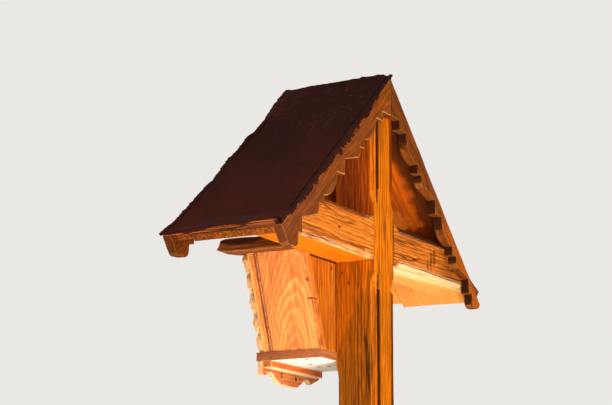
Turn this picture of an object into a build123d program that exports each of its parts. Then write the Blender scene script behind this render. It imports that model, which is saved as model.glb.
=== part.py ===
"""Wooden grave cross with a saddle roof and a small open shrine box.

A square post and a crossbeam are halved into each other. Boards laid on the post's pointed
top and on the sloping ends of the beam make the roof. It is closed by scalloped bargeboards
at both gables and covered with thin dark sheets that fold over the gables in a lobed hem.
A box with leaning sides hangs in front of the post, open to the front and above.

Frame: millimetres, Z up, origin at the centre of the post's foot. X runs along the crossbeam.
The shrine box looks towards -Y, so the halved joint is flush on the rear face, at +Y.
"""

import os
from math import cos, radians, sin, tan

from build123d import *

# Post and crossbeam
post_width = 90.0
post_depth = 90.0
beam_height = 90.0
beam_underside = 1600.0
chamfer_leg = 10.0
stop_length = 30.0
joint_shoulder = 27.0
quirk_width = 5.0
quirk_depth = 3.5

# Roof
ridge_above_beam = 401.0
roof_pitch = 39.5
roof_half_span = 490.0
roof_front_overhang = 130.0
rear_board_width = 176.0
front_board_shortfall = 12.0
roof_board_thickness = 18.0
covering_thickness = 2.5
covering_lip = 2.0
bare_verge_lip = 5.0

# Bargeboards and their repeated edge: tread, quarter-round, step, ogee, riser
bargeboard_thickness = 20.0
front_bargeboard_thickness = 18.0
bargeboard_ridge_depth = 88.0
notch_half_width = 41.0
notch_riser = 21.0
tread_run = 33.0
round_radius = 57.5
round_riser = 20.0
step_run = 20.5
ogee_run = 71.5
ogee_lip = 8.0
ogee_radius = 18.0
ogee_drop = 41.0

# Tongue at the lower end of each bargeboard, and the wood lost from the bare one
tongue_reach = 84.0
tongue_tread = 17.0
tongue_drop = 30.0
tongue_radius = 14.0
bare_ridge_loss = 4.5
bare_eave_loss = 29.0

# Hem of the covering on the gable faces
hem_thickness = 1.5
hem_depth = 2.0
plain_hem_run = 72.0
small_lobe_run = 23.0
small_lobe_depth = 7.0
large_lobe_run = 70.0
large_lobe_depth = 8.0

# Wedge-shaped strips that tilt the covering at the eaves
eave_strip_height = 15.5
eave_strip_width = 55.0
eave_strip_lip = 5.0

# Shrine box in front of the post
box_height = 206.0
box_rise = 8.0
box_depth = 114.0
box_board = 20.0
floor_thickness = 18.0
floor_half_width = 115.0
floor_lip = 3.0
wall_foot_inset = 2.0
wall_lean = 0.38
stile_depth = 21.0
stile_width = 40.0
front_rail_drop = 14.0
trim_thickness = 12.0
trim_width = 34.0
trim_lobe_height = 38.0
trim_lobe_depth = 9.0
box_rail_width = 50.0
box_rail_height = 28.0
box_rail_overhang = 30.0
box_rail_nose = 55.0
box_rail_rake = 10.0
drain_hole_diameter = 6.0
drain_holes = ((98.0, 41.0), (90.0, 23.0), (16.0, 76.0), (-31.0, 80.0), (-32.0, 56.0))

# Apron below the box
apron_end_drop = 14.5
apron_end_lobe = 15.0
apron_arch_height = 9.0
apron_centre_drop = 27.0
apron_centre_half_width = 37.0
apron_flank_run = 25.0
apron_right_overhang = 25.0
apron_hole_spacing = 64.0
apron_hole_diameter = 8.0
apron_hole_drop = 9.0

# Places worked out from the sizes above
slope = tan(radians(roof_pitch))
rear_face = post_depth / 2
front_face = -post_depth / 2
roof_front = front_face - roof_front_overhang
gable_rear = rear_face + bargeboard_thickness
gable_front = roof_front - front_bargeboard_thickness
beam_top = beam_underside + beam_height
ridge_top = beam_underside + ridge_above_beam
box_front = front_face - box_depth
stile_front = box_front - stile_depth
trim_front = stile_front - trim_thickness
box_top = beam_underside + box_rise
box_bottom = beam_underside - box_height
floor_top = box_bottom + floor_thickness
front_rail_bottom = box_bottom - front_rail_drop
wall_tilt = (1 + wall_lean**2) ** 0.5
roof_build_up = covering_thickness + roof_board_thickness


def roof_line(x, depth=0.0):
    """Height of the plane that lies `depth` below the top of the covering, square to it."""
    return ridge_top - abs(x) * slope - depth / cos(radians(roof_pitch))


def eave_point(depth, inset=0.0):
    """End of that plane at the eave, on a cut square to the slope."""
    along = (roof_half_span - inset) - depth * sin(radians(roof_pitch))
    return (along, roof_line(along, depth))


def wall_edge(z, inset=0.0):
    """Half width of the box at height z, measured to a plane `inset` inside its leaning side."""
    foot = floor_half_width - wall_foot_inset
    return foot + (z - floor_top) * wall_lean - inset * wall_tilt


def board(face, rear, front):
    """A board whose outline lies in XZ, sawn from its rear plane to its front plane."""
    return extrude(Plane.XZ.offset(-rear) * face, amount=rear - front)


def outline(*points):
    """A face bounded by straight edges."""
    return make_face(Polyline(*points, close=True))


def block(low, high):
    """A rectangular block between two opposite corners."""
    size = [b - a for a, b in zip(low, high)]
    return Pos(*low) * Box(*size, align=(Align.MIN, Align.MIN, Align.MIN))


def mirrored(solid):
    """The same piece on the other side of the post."""
    return mirror(solid, about=Plane.YZ)


def stopped_chamfer(start, end, inward, open_start=False, open_end=False):
    """Cutter for a chamfer along an arris from start to end, with rounded stops.

    `inward` points from the arris into the timber. An open end runs out of the timber.
    """
    depth = chamfer_leg / 2**0.5
    direction = Vector(*end) - Vector(*start)
    length = direction.length
    across = direction.normalized().cross(Vector(*inward).normalized())
    plane = Plane(origin=start, x_dir=direction, z_dir=across)
    first = 0.0 if open_start else stop_length
    last = length if open_end else length - stop_length
    edges = []
    if open_start:
        edges.append(Line((0, -chamfer_leg), (0, depth)))
    else:
        edges.append(Line((0, -chamfer_leg), (0, 0)))
        edges.append(ThreePointArc((0, 0), (first * 0.45, depth * 0.8), (first, depth)))
    edges.append(Line((first, depth), (last, depth)))
    if open_end:
        edges.append(Line((length, depth), (length, -chamfer_leg)))
    else:
        middle = (length - stop_length * 0.45, depth * 0.8)
        edges.append(ThreePointArc((last, depth), middle, (length, 0)))
        edges.append(Line((length, 0), (length, -chamfer_leg)))
    edges.append(Line((length, -chamfer_leg), (0, -chamfer_leg)))
    return extrude(plane * make_face(Wire(edges)), amount=chamfer_leg, both=True)


def build_post():
    """Square post with a pointed top, halved in front for the crossbeam."""
    half = post_width / 2
    peak = roof_line(0, roof_build_up)
    shoulder = roof_line(half, roof_build_up)
    post = board(
        outline((-half, 0), (half, 0), (half, shoulder), (0, peak), (-half, shoulder)),
        rear_face,
        front_face,
    )
    post -= block((-half, front_face, beam_underside), (half, 0, beam_top))
    low_stop = beam_underside - joint_shoulder
    high_stop = beam_top + joint_shoulder
    for side in (-1, 1):
        x = side * half
        inward = (-side, -1, 0)
        post -= stopped_chamfer((x, rear_face, 0), (x, rear_face, low_stop), inward, open_start=True)
        post -= stopped_chamfer(
            (x, rear_face, high_stop), (x, rear_face, peak), inward, open_end=True
        )
        post -= stopped_chamfer(
            (x, front_face, 0), (x, front_face, front_rail_bottom), (-side, 1, 0), open_start=True
        )
        groove = sorted((x - side * chamfer_leg, x - side * (chamfer_leg + quirk_width)))
        for low, high in ((0, low_stop - stop_length), (high_stop + stop_length, peak)):
            post -= block((groove[0], rear_face - quirk_depth, low), (groove[1], rear_face, high))
    return post


def beam_reach(z):
    """Half length of the beam at height z, where its end meets the roof boards."""
    return (roof_line(0, roof_build_up) - z) / slope


def build_crossbeam():
    """Crossbeam halved behind the post's front, its ends cut to the slope of the roof."""
    low = beam_reach(beam_underside)
    high = beam_reach(beam_top)
    beam = board(
        outline(
            (-low, beam_underside), (low, beam_underside), (high, beam_top), (-high, beam_top)
        ),
        rear_face,
        front_face,
    )
    half = post_width / 2
    beam -= block((-half, 0, beam_underside), (half, rear_face, beam_top))
    start = half + chamfer_leg
    for side in (-1, 1):
        for z, up in ((beam_underside, 1), (beam_top, -1)):
            reach = beam_reach(z)
            beam -= stopped_chamfer(
                (side * start, rear_face, z),
                (side * reach, rear_face, z),
                (0, -1, up),
                open_end=True,
            )
            groove = sorted((z + up * chamfer_leg, z + up * (chamfer_leg + quirk_width)))
            ends = sorted((side * (start + stop_length), side * (low + chamfer_leg)))
            beam -= block(
                (ends[0], rear_face - quirk_depth, groove[0]), (ends[1], rear_face, groove[1])
            )
    return beam


def build_roof_board(rear, front, shortfall=0.0):
    """Board of the left slope, from the ridge down to the eave or stopping short of it."""
    inset = shortfall * cos(radians(roof_pitch))
    face = outline(
        (0, roof_line(0, covering_thickness)),
        eave_point(covering_thickness, inset),
        eave_point(roof_build_up, inset),
        (0, roof_line(0, roof_build_up)),
    )
    return board(face, rear, front)


def build_covering(rear):
    """Thin sheet over the left slope, tilted at the eave by the strip under it."""
    inset = eave_strip_width * cos(radians(roof_pitch))
    face = outline(
        (0, roof_line(0)),
        eave_point(0, inset),
        eave_point(-eave_strip_height),
        eave_point(covering_thickness - eave_strip_height),
        eave_point(covering_thickness, inset),
        (0, roof_line(0, covering_thickness)),
    )
    return board(face, rear, gable_front - covering_lip)


def build_hem():
    """Folded edge of the left sheet on a gable, plain at the ridge, then in lobes.

    The outline is drawn along the slope: u runs down the roof, v is the depth below the
    top of the bargeboard. Small and large lobes take turns.
    """
    scale = 1 / cos(radians(roof_pitch))
    run = roof_half_span * scale
    lobes = ((small_lobe_run * scale, small_lobe_depth), (large_lobe_run * scale, large_lobe_depth))
    start = -plain_hem_run
    u = plain_hem_run * scale
    edges = [
        Line((start, 0), (start, -hem_depth)),
        Line((start, -hem_depth), (u, -hem_depth)),
    ]
    index = 0
    while u + lobes[index % 2][0] < run:
        step, depth = lobes[index % 2]
        low = (u + step / 2, -hem_depth - depth)
        edges.append(ThreePointArc((u, -hem_depth), low, (u + step, -hem_depth)))
        u += step
        index += 1
    edges.append(Line((u, -hem_depth), (run, -hem_depth)))
    edges.append(Line((run, -hem_depth), (run, eave_strip_height)))
    edges.append(Line((run, eave_strip_height), (run - eave_strip_width, 0)))
    edges.append(Line((run - eave_strip_width, 0), (start, 0)))
    return make_face(Wire(edges))


def place_hem(rear, front):
    """The hem's outline turned down the left slope and cut plumb at the ridge."""
    top = roof_line(0, covering_thickness)
    face = Pos(0, top) * Rot(0, 0, -roof_pitch) * build_hem()
    hem = board(face, rear, front)
    beyond = block((-roof_half_span, front - 1, 0), (0, rear + 1, ridge_top + plain_hem_run))
    return hem - beyond


def bargeboard_edge():
    """Lower edge of the left bargeboard, from the plumb joint at the ridge to its tongue.

    The pattern follows the slope and is stretched so that whole repeats fill it. Returns
    the edges and the point at the tongue's inner side where they end.
    """
    period_run = tread_run + round_radius + step_run + ogee_run
    length = roof_half_span - tongue_reach - notch_half_width
    repeats = max(1, round(length / period_run))
    k = length / (repeats * period_run)
    ogee_riser = period_run * slope - round_radius - round_riser - ogee_drop
    x = notch_half_width
    z = ridge_top - bargeboard_ridge_depth
    edges = [Line((0, z), (x, z)), Line((x, z), (x, z - notch_riser))]
    z -= notch_riser
    for _ in range(repeats):
        edges.append(Line((x, z), (x + k * tread_run, z)))
        x += k * tread_run
        edges.append(quarter_round(x, z, k * round_radius))
        x += k * round_radius
        z -= k * round_radius
        edges.append(Line((x, z), (x, z - k * round_riser)))
        z -= k * round_riser
        edges.append(Line((x, z), (x + k * step_run, z)))
        x += k * step_run
        lip = z - k * ogee_lip
        edges.append(Line((x, z), (x, lip)))
        edges.append(quarter_round(x, lip, k * ogee_radius))
        tip = (x + k * ogee_run, z - k * ogee_drop)
        edges.append(Line((x + k * ogee_radius, lip - k * ogee_radius), tip))
        x, z = tip
        edges.append(Line((x, z), (x, z - k * ogee_riser)))
        z -= k * ogee_riser
    edges.append(Line((x, z), (x + tongue_tread, z)))
    return edges, (x + tongue_tread, z)


def quarter_round(x, z, radius):
    """Quarter of a circle, leaving (x, z) plumb and arriving level below and outside it."""
    chord = radius * sin(radians(45))
    return ThreePointArc((x, z), (x + radius - chord, z - chord), (x + radius, z - radius))


def build_bargeboard(rear, front, ridge_loss=0.0, eave_loss=0.0):
    """Left bargeboard of one gable, its lower edge cut in rounds and steps.

    The losses are the wood missing from the upper edge, square to the slope.
    """
    edges, (x, z) = bargeboard_edge()
    low = z - tongue_drop
    ridge = (0, roof_line(0, covering_thickness + ridge_loss))
    top = eave_point(covering_thickness + eave_loss)
    foot = (top[0] - (top[1] - low) * slope, low)
    edges.append(Line((x, z), (x, low)))
    edges.append(Line((x, low), foot))
    edges.append(Line(foot, top))
    edges.append(Line(top, ridge))
    edges.append(Line(ridge, (0, ridge_top - bargeboard_ridge_depth)))
    face = make_face(Wire(edges)).face()
    face = face.fillet_2d(tongue_radius, face.vertices().sort_by(Axis.Y)[:2])
    return board(face, rear, front)


def build_eave_strip():
    """Wedge between the boards and the covering along the left eave."""
    inset = eave_strip_width * cos(radians(roof_pitch))
    face = outline(
        eave_point(covering_thickness, inset),
        eave_point(covering_thickness),
        eave_point(covering_thickness - eave_strip_height),
    )
    return board(face, rear_face + eave_strip_lip, gable_front)


def build_back_board(left, right):
    """Vertical board of the box's back; None stands for the leaning side wall."""
    top = box_top

    def edge(limit, z):
        return wall_edge(z, box_board) if limit is None else limit

    points = [
        (edge(left, floor_top), floor_top),
        (edge(left, top), top),
        (edge(right, top), top),
        (edge(right, floor_top), floor_top),
    ]
    return board(outline(*points), front_face, front_face - box_board)


def build_box_side():
    """Leaning left side wall of the box."""
    face = outline(
        (wall_edge(floor_top), floor_top),
        (wall_edge(box_top), box_top),
        (wall_edge(box_top, box_board), box_top),
        (wall_edge(floor_top, box_board), floor_top),
    )
    return board(face, front_face, box_front)


def build_stile():
    """Left post of the frame round the box's open front."""
    face = outline(
        (wall_edge(floor_top), floor_top),
        (wall_edge(box_top), box_top),
        (wall_edge(box_top, stile_width), box_top),
        (wall_edge(floor_top, stile_width), floor_top),
    )
    return board(face, box_front, stile_front)


def build_stile_trim():
    """Thin board on the left stile, its outer edge cut in a row of lobes."""
    count = max(1, round((box_height - floor_thickness) / trim_lobe_height))
    step = (box_top - floor_top) / count
    edges = []
    for index in range(count):
        low = floor_top + index * step
        high = low + step
        start = (wall_edge(low, trim_lobe_depth), low)
        end = (wall_edge(high, trim_lobe_depth), high)
        edges.append(ThreePointArc(start, (wall_edge(low + step * 0.4), low + step * 0.4), end))
    inner_high = (wall_edge(box_top, trim_width), box_top)
    inner_low = (wall_edge(floor_top, trim_width), floor_top)
    edges.append(Line((wall_edge(box_top, trim_lobe_depth), box_top), inner_high))
    edges.append(Line(inner_high, inner_low))
    edges.append(Line(inner_low, (wall_edge(floor_top, trim_lobe_depth), floor_top)))
    return board(make_face(Wire(edges)), stile_front, trim_front)


def build_floor():
    """Floor board under the walls, stiles and trims, with small drain holes."""
    floor = block(
        (-floor_half_width, trim_front - floor_lip, box_bottom),
        (floor_half_width, front_face, floor_top),
    )
    for x, forward in drain_holes:
        place = Pos(x, front_face - forward, (box_bottom + floor_top) / 2)
        floor -= place * Cylinder(drain_hole_diameter / 2, floor_thickness * 2)
    return floor


def build_front_rail():
    """Rail under the floor, below the stiles."""
    return block(
        (-floor_half_width, stile_front, front_rail_bottom),
        (floor_half_width, box_front, box_bottom),
    )


def build_apron():
    """Board under the floor's front edge, scalloped to a middle lobe and two end lobes.

    The right end runs on past the box and is cut off on a rake.
    """
    end = floor_half_width
    bottom = front_rail_bottom - apron_end_drop
    foot = end - apron_end_lobe
    flank_top = apron_centre_half_width + apron_flank_run
    crown = (foot + flank_top) / 2
    centre = front_rail_bottom - apron_centre_drop
    edges = [
        Line((end, bottom), (foot, bottom)),
        ThreePointArc((foot, bottom), (crown, bottom + apron_arch_height), (flank_top, bottom)),
        Line((flank_top, bottom), (apron_centre_half_width, centre)),
        Line((apron_centre_half_width, centre), (0, centre)),
        Line((0, centre), (0, box_bottom)),
        Line((0, box_bottom), (end, box_bottom)),
        Line((end, box_bottom), (end, bottom)),
    ]
    half = make_face(Wire(edges))
    tip = -end - apron_right_overhang
    tail = outline(
        (-foot, bottom), (tip, front_rail_bottom), (tip, box_bottom), (-foot, box_bottom)
    )
    corner = outline(
        (-foot, bottom), (tip, front_rail_bottom), (tip, bottom - 1), (-foot, bottom - 1)
    )
    face = half + mirror(half, about=Plane.YZ) + tail - corner
    apron = board(face, stile_front, trim_front)
    for side in (-1, 1):
        place = Pos(
            side * apron_hole_spacing / 2,
            (stile_front + trim_front) / 2,
            front_rail_bottom - apron_hole_drop,
        )
        apron -= place * Rot(90, 0, 0) * Cylinder(apron_hole_diameter / 2, trim_thickness * 2)
    return apron


def build_box_rail():
    """Rail on the left side wall, from the beam to a raking nose in front of the box."""
    outer = wall_edge(box_top) + box_rail_overhang
    inner = outer - box_rail_width
    nose = stile_front - box_rail_nose
    side_view = Polyline(
        (front_face, box_top),
        (nose, box_top),
        (nose + box_rail_rake, box_top + box_rail_height),
        (front_face, box_top + box_rail_height),
        close=True,
    )
    return extrude(Plane.YZ.offset(inner) * make_face(side_view), amount=outer - inner)


def build_nodes():
    """All pieces by node name."""
    nodes = {"post": build_post(), "crossbeam": build_crossbeam()}
    board_joint = rear_face - rear_board_width
    back_split = post_width / 2 + box_board
    left = {
        "roof_board_left_rear": build_roof_board(rear_face, board_joint),
        "roof_board_left_front": build_roof_board(board_joint, roof_front, front_board_shortfall),
        "verge_hem_left_front": place_hem(gable_front, gable_front - hem_thickness),
        "eave_strip_left": build_eave_strip(),
        "front_bargeboard_left": build_bargeboard(roof_front, gable_front),
        "back_board_left": build_back_board(back_split, None),
        "box_side_left": build_box_side(),
        "front_stile_left": build_stile(),
        "stile_trim_left": build_stile_trim(),
        "box_rail_left": build_box_rail(),
    }
    for name, solid in left.items():
        nodes[name] = solid
        nodes[name.replace("_left", "_right")] = mirrored(solid)
    bare = build_bargeboard(gable_rear, rear_face, bare_ridge_loss, bare_eave_loss)
    nodes["rear_bargeboard_left"] = build_bargeboard(gable_rear, rear_face)
    nodes["rear_bargeboard_right"] = mirrored(bare)
    nodes["covering_left"] = build_covering(gable_rear + covering_lip)
    nodes["covering_right"] = mirrored(build_covering(rear_face + bare_verge_lip))
    nodes["verge_hem_left_rear"] = place_hem(gable_rear + hem_thickness, gable_rear)
    nodes["back_board_middle"] = build_back_board(-back_split, back_split)
    nodes["box_floor"] = build_floor()
    nodes["front_rail"] = build_front_rail()
    nodes["apron"] = build_apron()
    return nodes


def main():
    """Write one STEP file for each piece."""
    os.makedirs("parts", exist_ok=True)
    for name, solid in build_nodes().items():
        export_step(solid, f"parts/{name}.step")


main()
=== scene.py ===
"""Looks of a wooden grave cross with a saddle roof and an open shrine box.

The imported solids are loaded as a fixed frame. Timber pieces are softened copies of their
solids with sawn, worn edges. The roof sheets, their verge bands and the small things that
the solids leave out are modelled here. Metres, Z up, X along the crossbeam; the box looks
towards -Y.
"""

import logging
import math
from dataclasses import dataclass, field, replace
from enum import Enum
from typing import Callable, Sequence

import bmesh
import bpy
from mathutils import Euler, Matrix, Vector, noise

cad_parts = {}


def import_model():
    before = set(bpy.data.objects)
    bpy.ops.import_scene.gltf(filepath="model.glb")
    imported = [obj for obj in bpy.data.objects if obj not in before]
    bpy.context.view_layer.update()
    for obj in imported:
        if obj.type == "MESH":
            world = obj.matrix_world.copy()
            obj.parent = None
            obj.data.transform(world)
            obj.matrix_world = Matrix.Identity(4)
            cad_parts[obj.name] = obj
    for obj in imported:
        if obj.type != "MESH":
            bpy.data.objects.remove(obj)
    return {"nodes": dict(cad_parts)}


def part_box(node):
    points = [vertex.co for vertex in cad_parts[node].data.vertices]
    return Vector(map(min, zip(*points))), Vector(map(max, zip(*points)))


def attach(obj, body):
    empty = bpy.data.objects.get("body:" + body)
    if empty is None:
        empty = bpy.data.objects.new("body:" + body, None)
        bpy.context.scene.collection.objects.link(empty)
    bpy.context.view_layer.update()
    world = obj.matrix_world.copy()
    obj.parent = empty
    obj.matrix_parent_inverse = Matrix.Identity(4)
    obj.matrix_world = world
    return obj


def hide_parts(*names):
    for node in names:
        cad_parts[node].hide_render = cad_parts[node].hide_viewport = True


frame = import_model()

Socket = bpy.types.NodeSocket
Colour = tuple[float, float, float, float]
Triple = tuple[float, float, float]
Curve = tuple[tuple[float, float], ...]
Limit = tuple[Vector, float]

LOG = logging.getLogger("grave_cross")
MM = 0.001
SLOPE = math.radians(39.5)
RIDGE = 2.001
HALF_SPAN = 0.490
POST_HALF = 0.045
ARRIS_ANGLE = math.radians(25)
FLAT_ANGLE = math.radians(0.6)
TOUCH = 0.001 * MM  # points closer than this are one point
LEAST_FACE = 60 * MM * MM  # flat faces below this area get no strip along their arrises
WAVES = 7  # start of the random numbers behind the noise, so that every run has the same waves

ORIGIN = (0.0, 0.0, 0.0)
UP = Vector((0, 0, 1))
BACK = Vector((0, 1, 0))
LEFT = Vector((1, 0, 0))
DOWN, FRONT, RIGHT = -UP, -BACK, -LEFT

# Faces that look down; patches under this mask are painted light from below.
LIT_UNDERSIDE: dict[str, object] = {"towards": DOWN, "facing": (0.8, 0.97), "over": True}
# Chamfer faces of the beam and the post, where painted light and shade are laid.
LOWER_CHAMFER: dict[str, object] = {"towards": (BACK + DOWN) * 0.707, "facing": (0.85, 0.97)}
UPPER_CHAMFER: dict[str, object] = {"towards": (BACK + UP) * 0.707, "facing": (0.85, 0.97)}
POST_CHAMFER: dict[str, object] = {"towards": (BACK + LEFT) * 0.707, "facing": (0.75, 0.9)}


class Slot(Enum):
    """Material slots."""

    POST = "post_wood"
    BEAM = "beam_wood"
    ROOF = "roof_wood"
    BARGE = "bargeboard_wood"
    BOX = "box_wood"
    TRIM = "trim_wood"
    SHEET = "roof_sheet"


class Side(Enum):
    """Side of the post; the value is the sign of X."""

    LEFT = 1
    RIGHT = -1

    @property
    def word(self) -> str:
        """Name of the side as node names hold it."""
        return self.name.lower()


class Gable(Enum):
    """End of the roof; the value is the sign of Y."""

    REAR = 1
    FRONT = -1

    @property
    def word(self) -> str:
        """Name of the gable as node names hold it."""
        return self.name.lower()


def above(height: float) -> Limit:
    """Limit to what lies higher than a height."""
    return UP, height


def below(height: float) -> Limit:
    """Limit to what lies lower than a height."""
    return DOWN, -height


def behind(y: float) -> Limit:
    """Limit to what lies further back than a place."""
    return BACK, y


def before(y: float) -> Limit:
    """Limit to what lies further forward than a place."""
    return FRONT, -y


def left_of(x: float) -> Limit:
    """Limit to what lies further left than a place."""
    return LEFT, x


def right_of(x: float) -> Limit:
    """Limit to what lies further right than a place."""
    return RIGHT, -x


def srgb(red: float, green: float, blue: float) -> Colour:
    """Turn an sRGB colour into a linear one.

    Args:
        red: Red from 0 to 255.
        green: Green from 0 to 255.
        blue: Blue from 0 to 255.

    Returns:
        Red, green, blue and alpha from 0 to 1.
    """
    def channel(value: float) -> float:
        """Linear value of one channel."""
        share = value / 255
        return share / 12.92 if share <= 0.04045 else ((share + 0.055) / 1.055) ** 2.4

    return channel(red), channel(green), channel(blue), 1.0


class Tree:
    """Adds nodes to a node tree and joins them."""

    def __init__(self, tree: bpy.types.NodeTree) -> None:
        """Keep the tree to build in."""
        self.tree = tree

    def add(self, kind: str, settings: dict | None = None, **inputs: object) -> bpy.types.Node:
        """Add a node.

        Args:
            kind: Type of the node, without its ShaderNode prefix.
            settings: Properties of the node.
            **inputs: Sockets or values by input name, with spaces written as underscores.

        Returns:
            The new node.
        """
        node = self.tree.nodes.new("ShaderNode" + kind)
        for key, value in (settings or {}).items():
            setattr(node, key, value)
        for key, value in inputs.items():
            self.feed(node.inputs[key.replace("_", " ")], value)
        return node

    def feed(self, socket: Socket, value: object) -> None:
        """Join a socket to another one, or set its value.

        Args:
            socket: Input socket.
            value: Output socket to join it to, or the value to set.
        """
        if isinstance(value, Socket):
            self.tree.links.new(value, socket)
        else:
            socket.default_value = value

    def math(self, operation: str, *values: object, clamp: bool = False) -> Socket:
        """Add a math node.

        Args:
            operation: Operation of the node.
            *values: Up to three sockets or numbers.
            clamp: Whether the result is kept within 0 and 1.

        Returns:
            The result.
        """
        node = self.add("Math", {"operation": operation, "use_clamp": clamp})
        for index, value in enumerate(values):
            self.feed(node.inputs[index], value)
        return node.outputs[0]

    def times(self, one: object, other: object, clamp: bool = False) -> Socket:
        """Product of two values."""
        return self.math("MULTIPLY", one, other, clamp=clamp)

    def plus(self, one: object, other: object, clamp: bool = False) -> Socket:
        """Sum of two values."""
        return self.math("ADD", one, other, clamp=clamp)

    def minus(self, one: object, other: object) -> Socket:
        """First value less the second."""
        return self.math("SUBTRACT", one, other)

    def affine(self, value: object, factor: object, offset: object) -> Socket:
        """Value times a factor, plus an offset."""
        return self.math("MULTIPLY_ADD", value, factor, offset)

    def vector(self, operation: str, *values: object, scale: object = None) -> Socket:
        """Result of a vector math node.

        Args:
            operation: Operation of the node.
            *values: Vectors it works on.
            scale: Factor of the scale operation.

        Returns:
            The vector, or the value for a length or a dot product.
        """
        node = self.add("VectorMath", {"operation": operation})
        for index, value in enumerate(values):
            self.feed(node.inputs[index], value)
        if scale is not None:
            self.feed(node.inputs["Scale"], scale)
        return node.outputs[1 if operation in ("LENGTH", "DOT_PRODUCT") else 0]

    def step(self, value: object, low: object, high: object) -> Socket:
        """Add a smooth step.

        Args:
            value: Value that is stepped.
            low: Value that gives 0.
            high: Value that gives 1; it may lie below the other one.

        Returns:
            The stepped value.
        """
        node = self.add("MapRange", {"interpolation_type": "SMOOTHSTEP"}, Value=value)
        self.feed(node.inputs["From Min"], low)
        self.feed(node.inputs["From Max"], high)
        return node.outputs["Result"]

    def mix(self, share: object, one: object, other: object, blend: str = "MIX") -> Socket:
        """Mix two colours.

        Args:
            share: Share of the second colour.
            one: First colour.
            other: Second colour.
            blend: How the second colour is laid on the first.

        Returns:
            The mixed colour.
        """
        node = self.add("Mix", {"data_type": "RGBA", "blend_type": blend})
        self.feed(node.inputs["Factor"], share)
        self.feed(node.inputs[6], one)
        self.feed(node.inputs[7], other)
        return node.outputs[2]

    def noise(self, vector: object, scale: float, detail: float, seed: object) -> Socket:
        """Add a noise.

        Args:
            vector: Place that the noise is read at.
            scale: Number of waves in a metre.
            detail: Number of finer waves.
            seed: Place in the noise's fourth dimension.

        Returns:
            The noise, a value around 0.5.
        """
        node = self.add(
            "TexNoise", {"noise_dimensions": "4D"}, Vector=vector, W=seed, Scale=scale, Detail=detail
        )
        return node.outputs["Fac"]

    def stretched(self, vector: object, waves: Triple, detail: float, seed: object) -> Socket:
        """Add a noise that is stretched along the axes.

        Args:
            vector: Place that the noise is read at.
            waves: Number of waves in a metre along each axis.
            detail: Number of finer waves.
            seed: Place in the noise's fourth dimension.

        Returns:
            The noise, a value around 0.5.
        """
        return self.noise(self.vector("MULTIPLY", vector, waves), scale=1.0, detail=detail, seed=seed)

    def streaks(self, vector: object, across: float, along: float, detail: float, seed: object) -> Socket:
        """Add a noise that is stretched along the grain.

        Args:
            vector: Place in the board's frame, with the grain along Z.
            across: Number of waves in a metre across the grain.
            along: Number of waves in a metre along the grain.
            detail: Number of finer waves.
            seed: Place in the noise's fourth dimension.

        Returns:
            The noise, a value around 0.5.
        """
        return self.stretched(vector, (across, across, along), detail, seed)

    def beyond(self, vector: object, limit: Limit, ragged: float, soft: float) -> Socket:
        """Add the mask of one side of a plane.

        Args:
            vector: Place in the object's frame.
            limit: The side that counts.
            ragged: How far noise shifts the border.
            soft: Half width of the border.

        Returns:
            The mask.
        """
        return self.use(
            "Beyond a line", Vector=vector, Towards=limit[0], Offset=limit[1], Ragged=ragged, Soft=soft
        )["Mask"]

    def use(self, name: str, **inputs: object) -> bpy.types.NodeOutputs:
        """Place a group in the tree with its own values.

        Args:
            name: Name of the group.
            **inputs: Sockets or values by input name, with spaces written as underscores.

        Returns:
            The outputs of the group.
        """
        node = self.tree.nodes.new("ShaderNodeGroup")
        node.node_tree = bpy.data.node_groups[name]
        for key, value in inputs.items():
            self.feed(node.inputs[key.replace("_", " ")], value)
        return node.outputs


class Group(Tree):
    """A shader node group with named inputs and outputs."""

    def __init__(self, name: str, inputs: dict[str, object], outputs: Sequence[str]) -> None:
        """Make an empty group.

        Args:
            name: Name of the group.
            inputs: Default value of each input; a tuple of three makes a vector socket.
            outputs: Names of the values that it puts out.
        """
        super().__init__(bpy.data.node_groups.new(name, "ShaderNodeTree"))
        face = self.tree.interface
        for label, value in inputs.items():
            kind = "NodeSocketVector" if isinstance(value, tuple) else "NodeSocketFloat"
            face.new_socket(name=label, in_out="INPUT", socket_type=kind).default_value = value
        for label in outputs:
            face.new_socket(name=label, in_out="OUTPUT", socket_type="NodeSocketFloat")
        self.given = self.tree.nodes.new("NodeGroupInput").outputs
        self.wanted = self.tree.nodes.new("NodeGroupOutput").inputs

    def give(self, label: str, socket: Socket) -> None:
        """Join a socket to an output of the group."""
        self.tree.links.new(socket, self.wanted[label])


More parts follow.
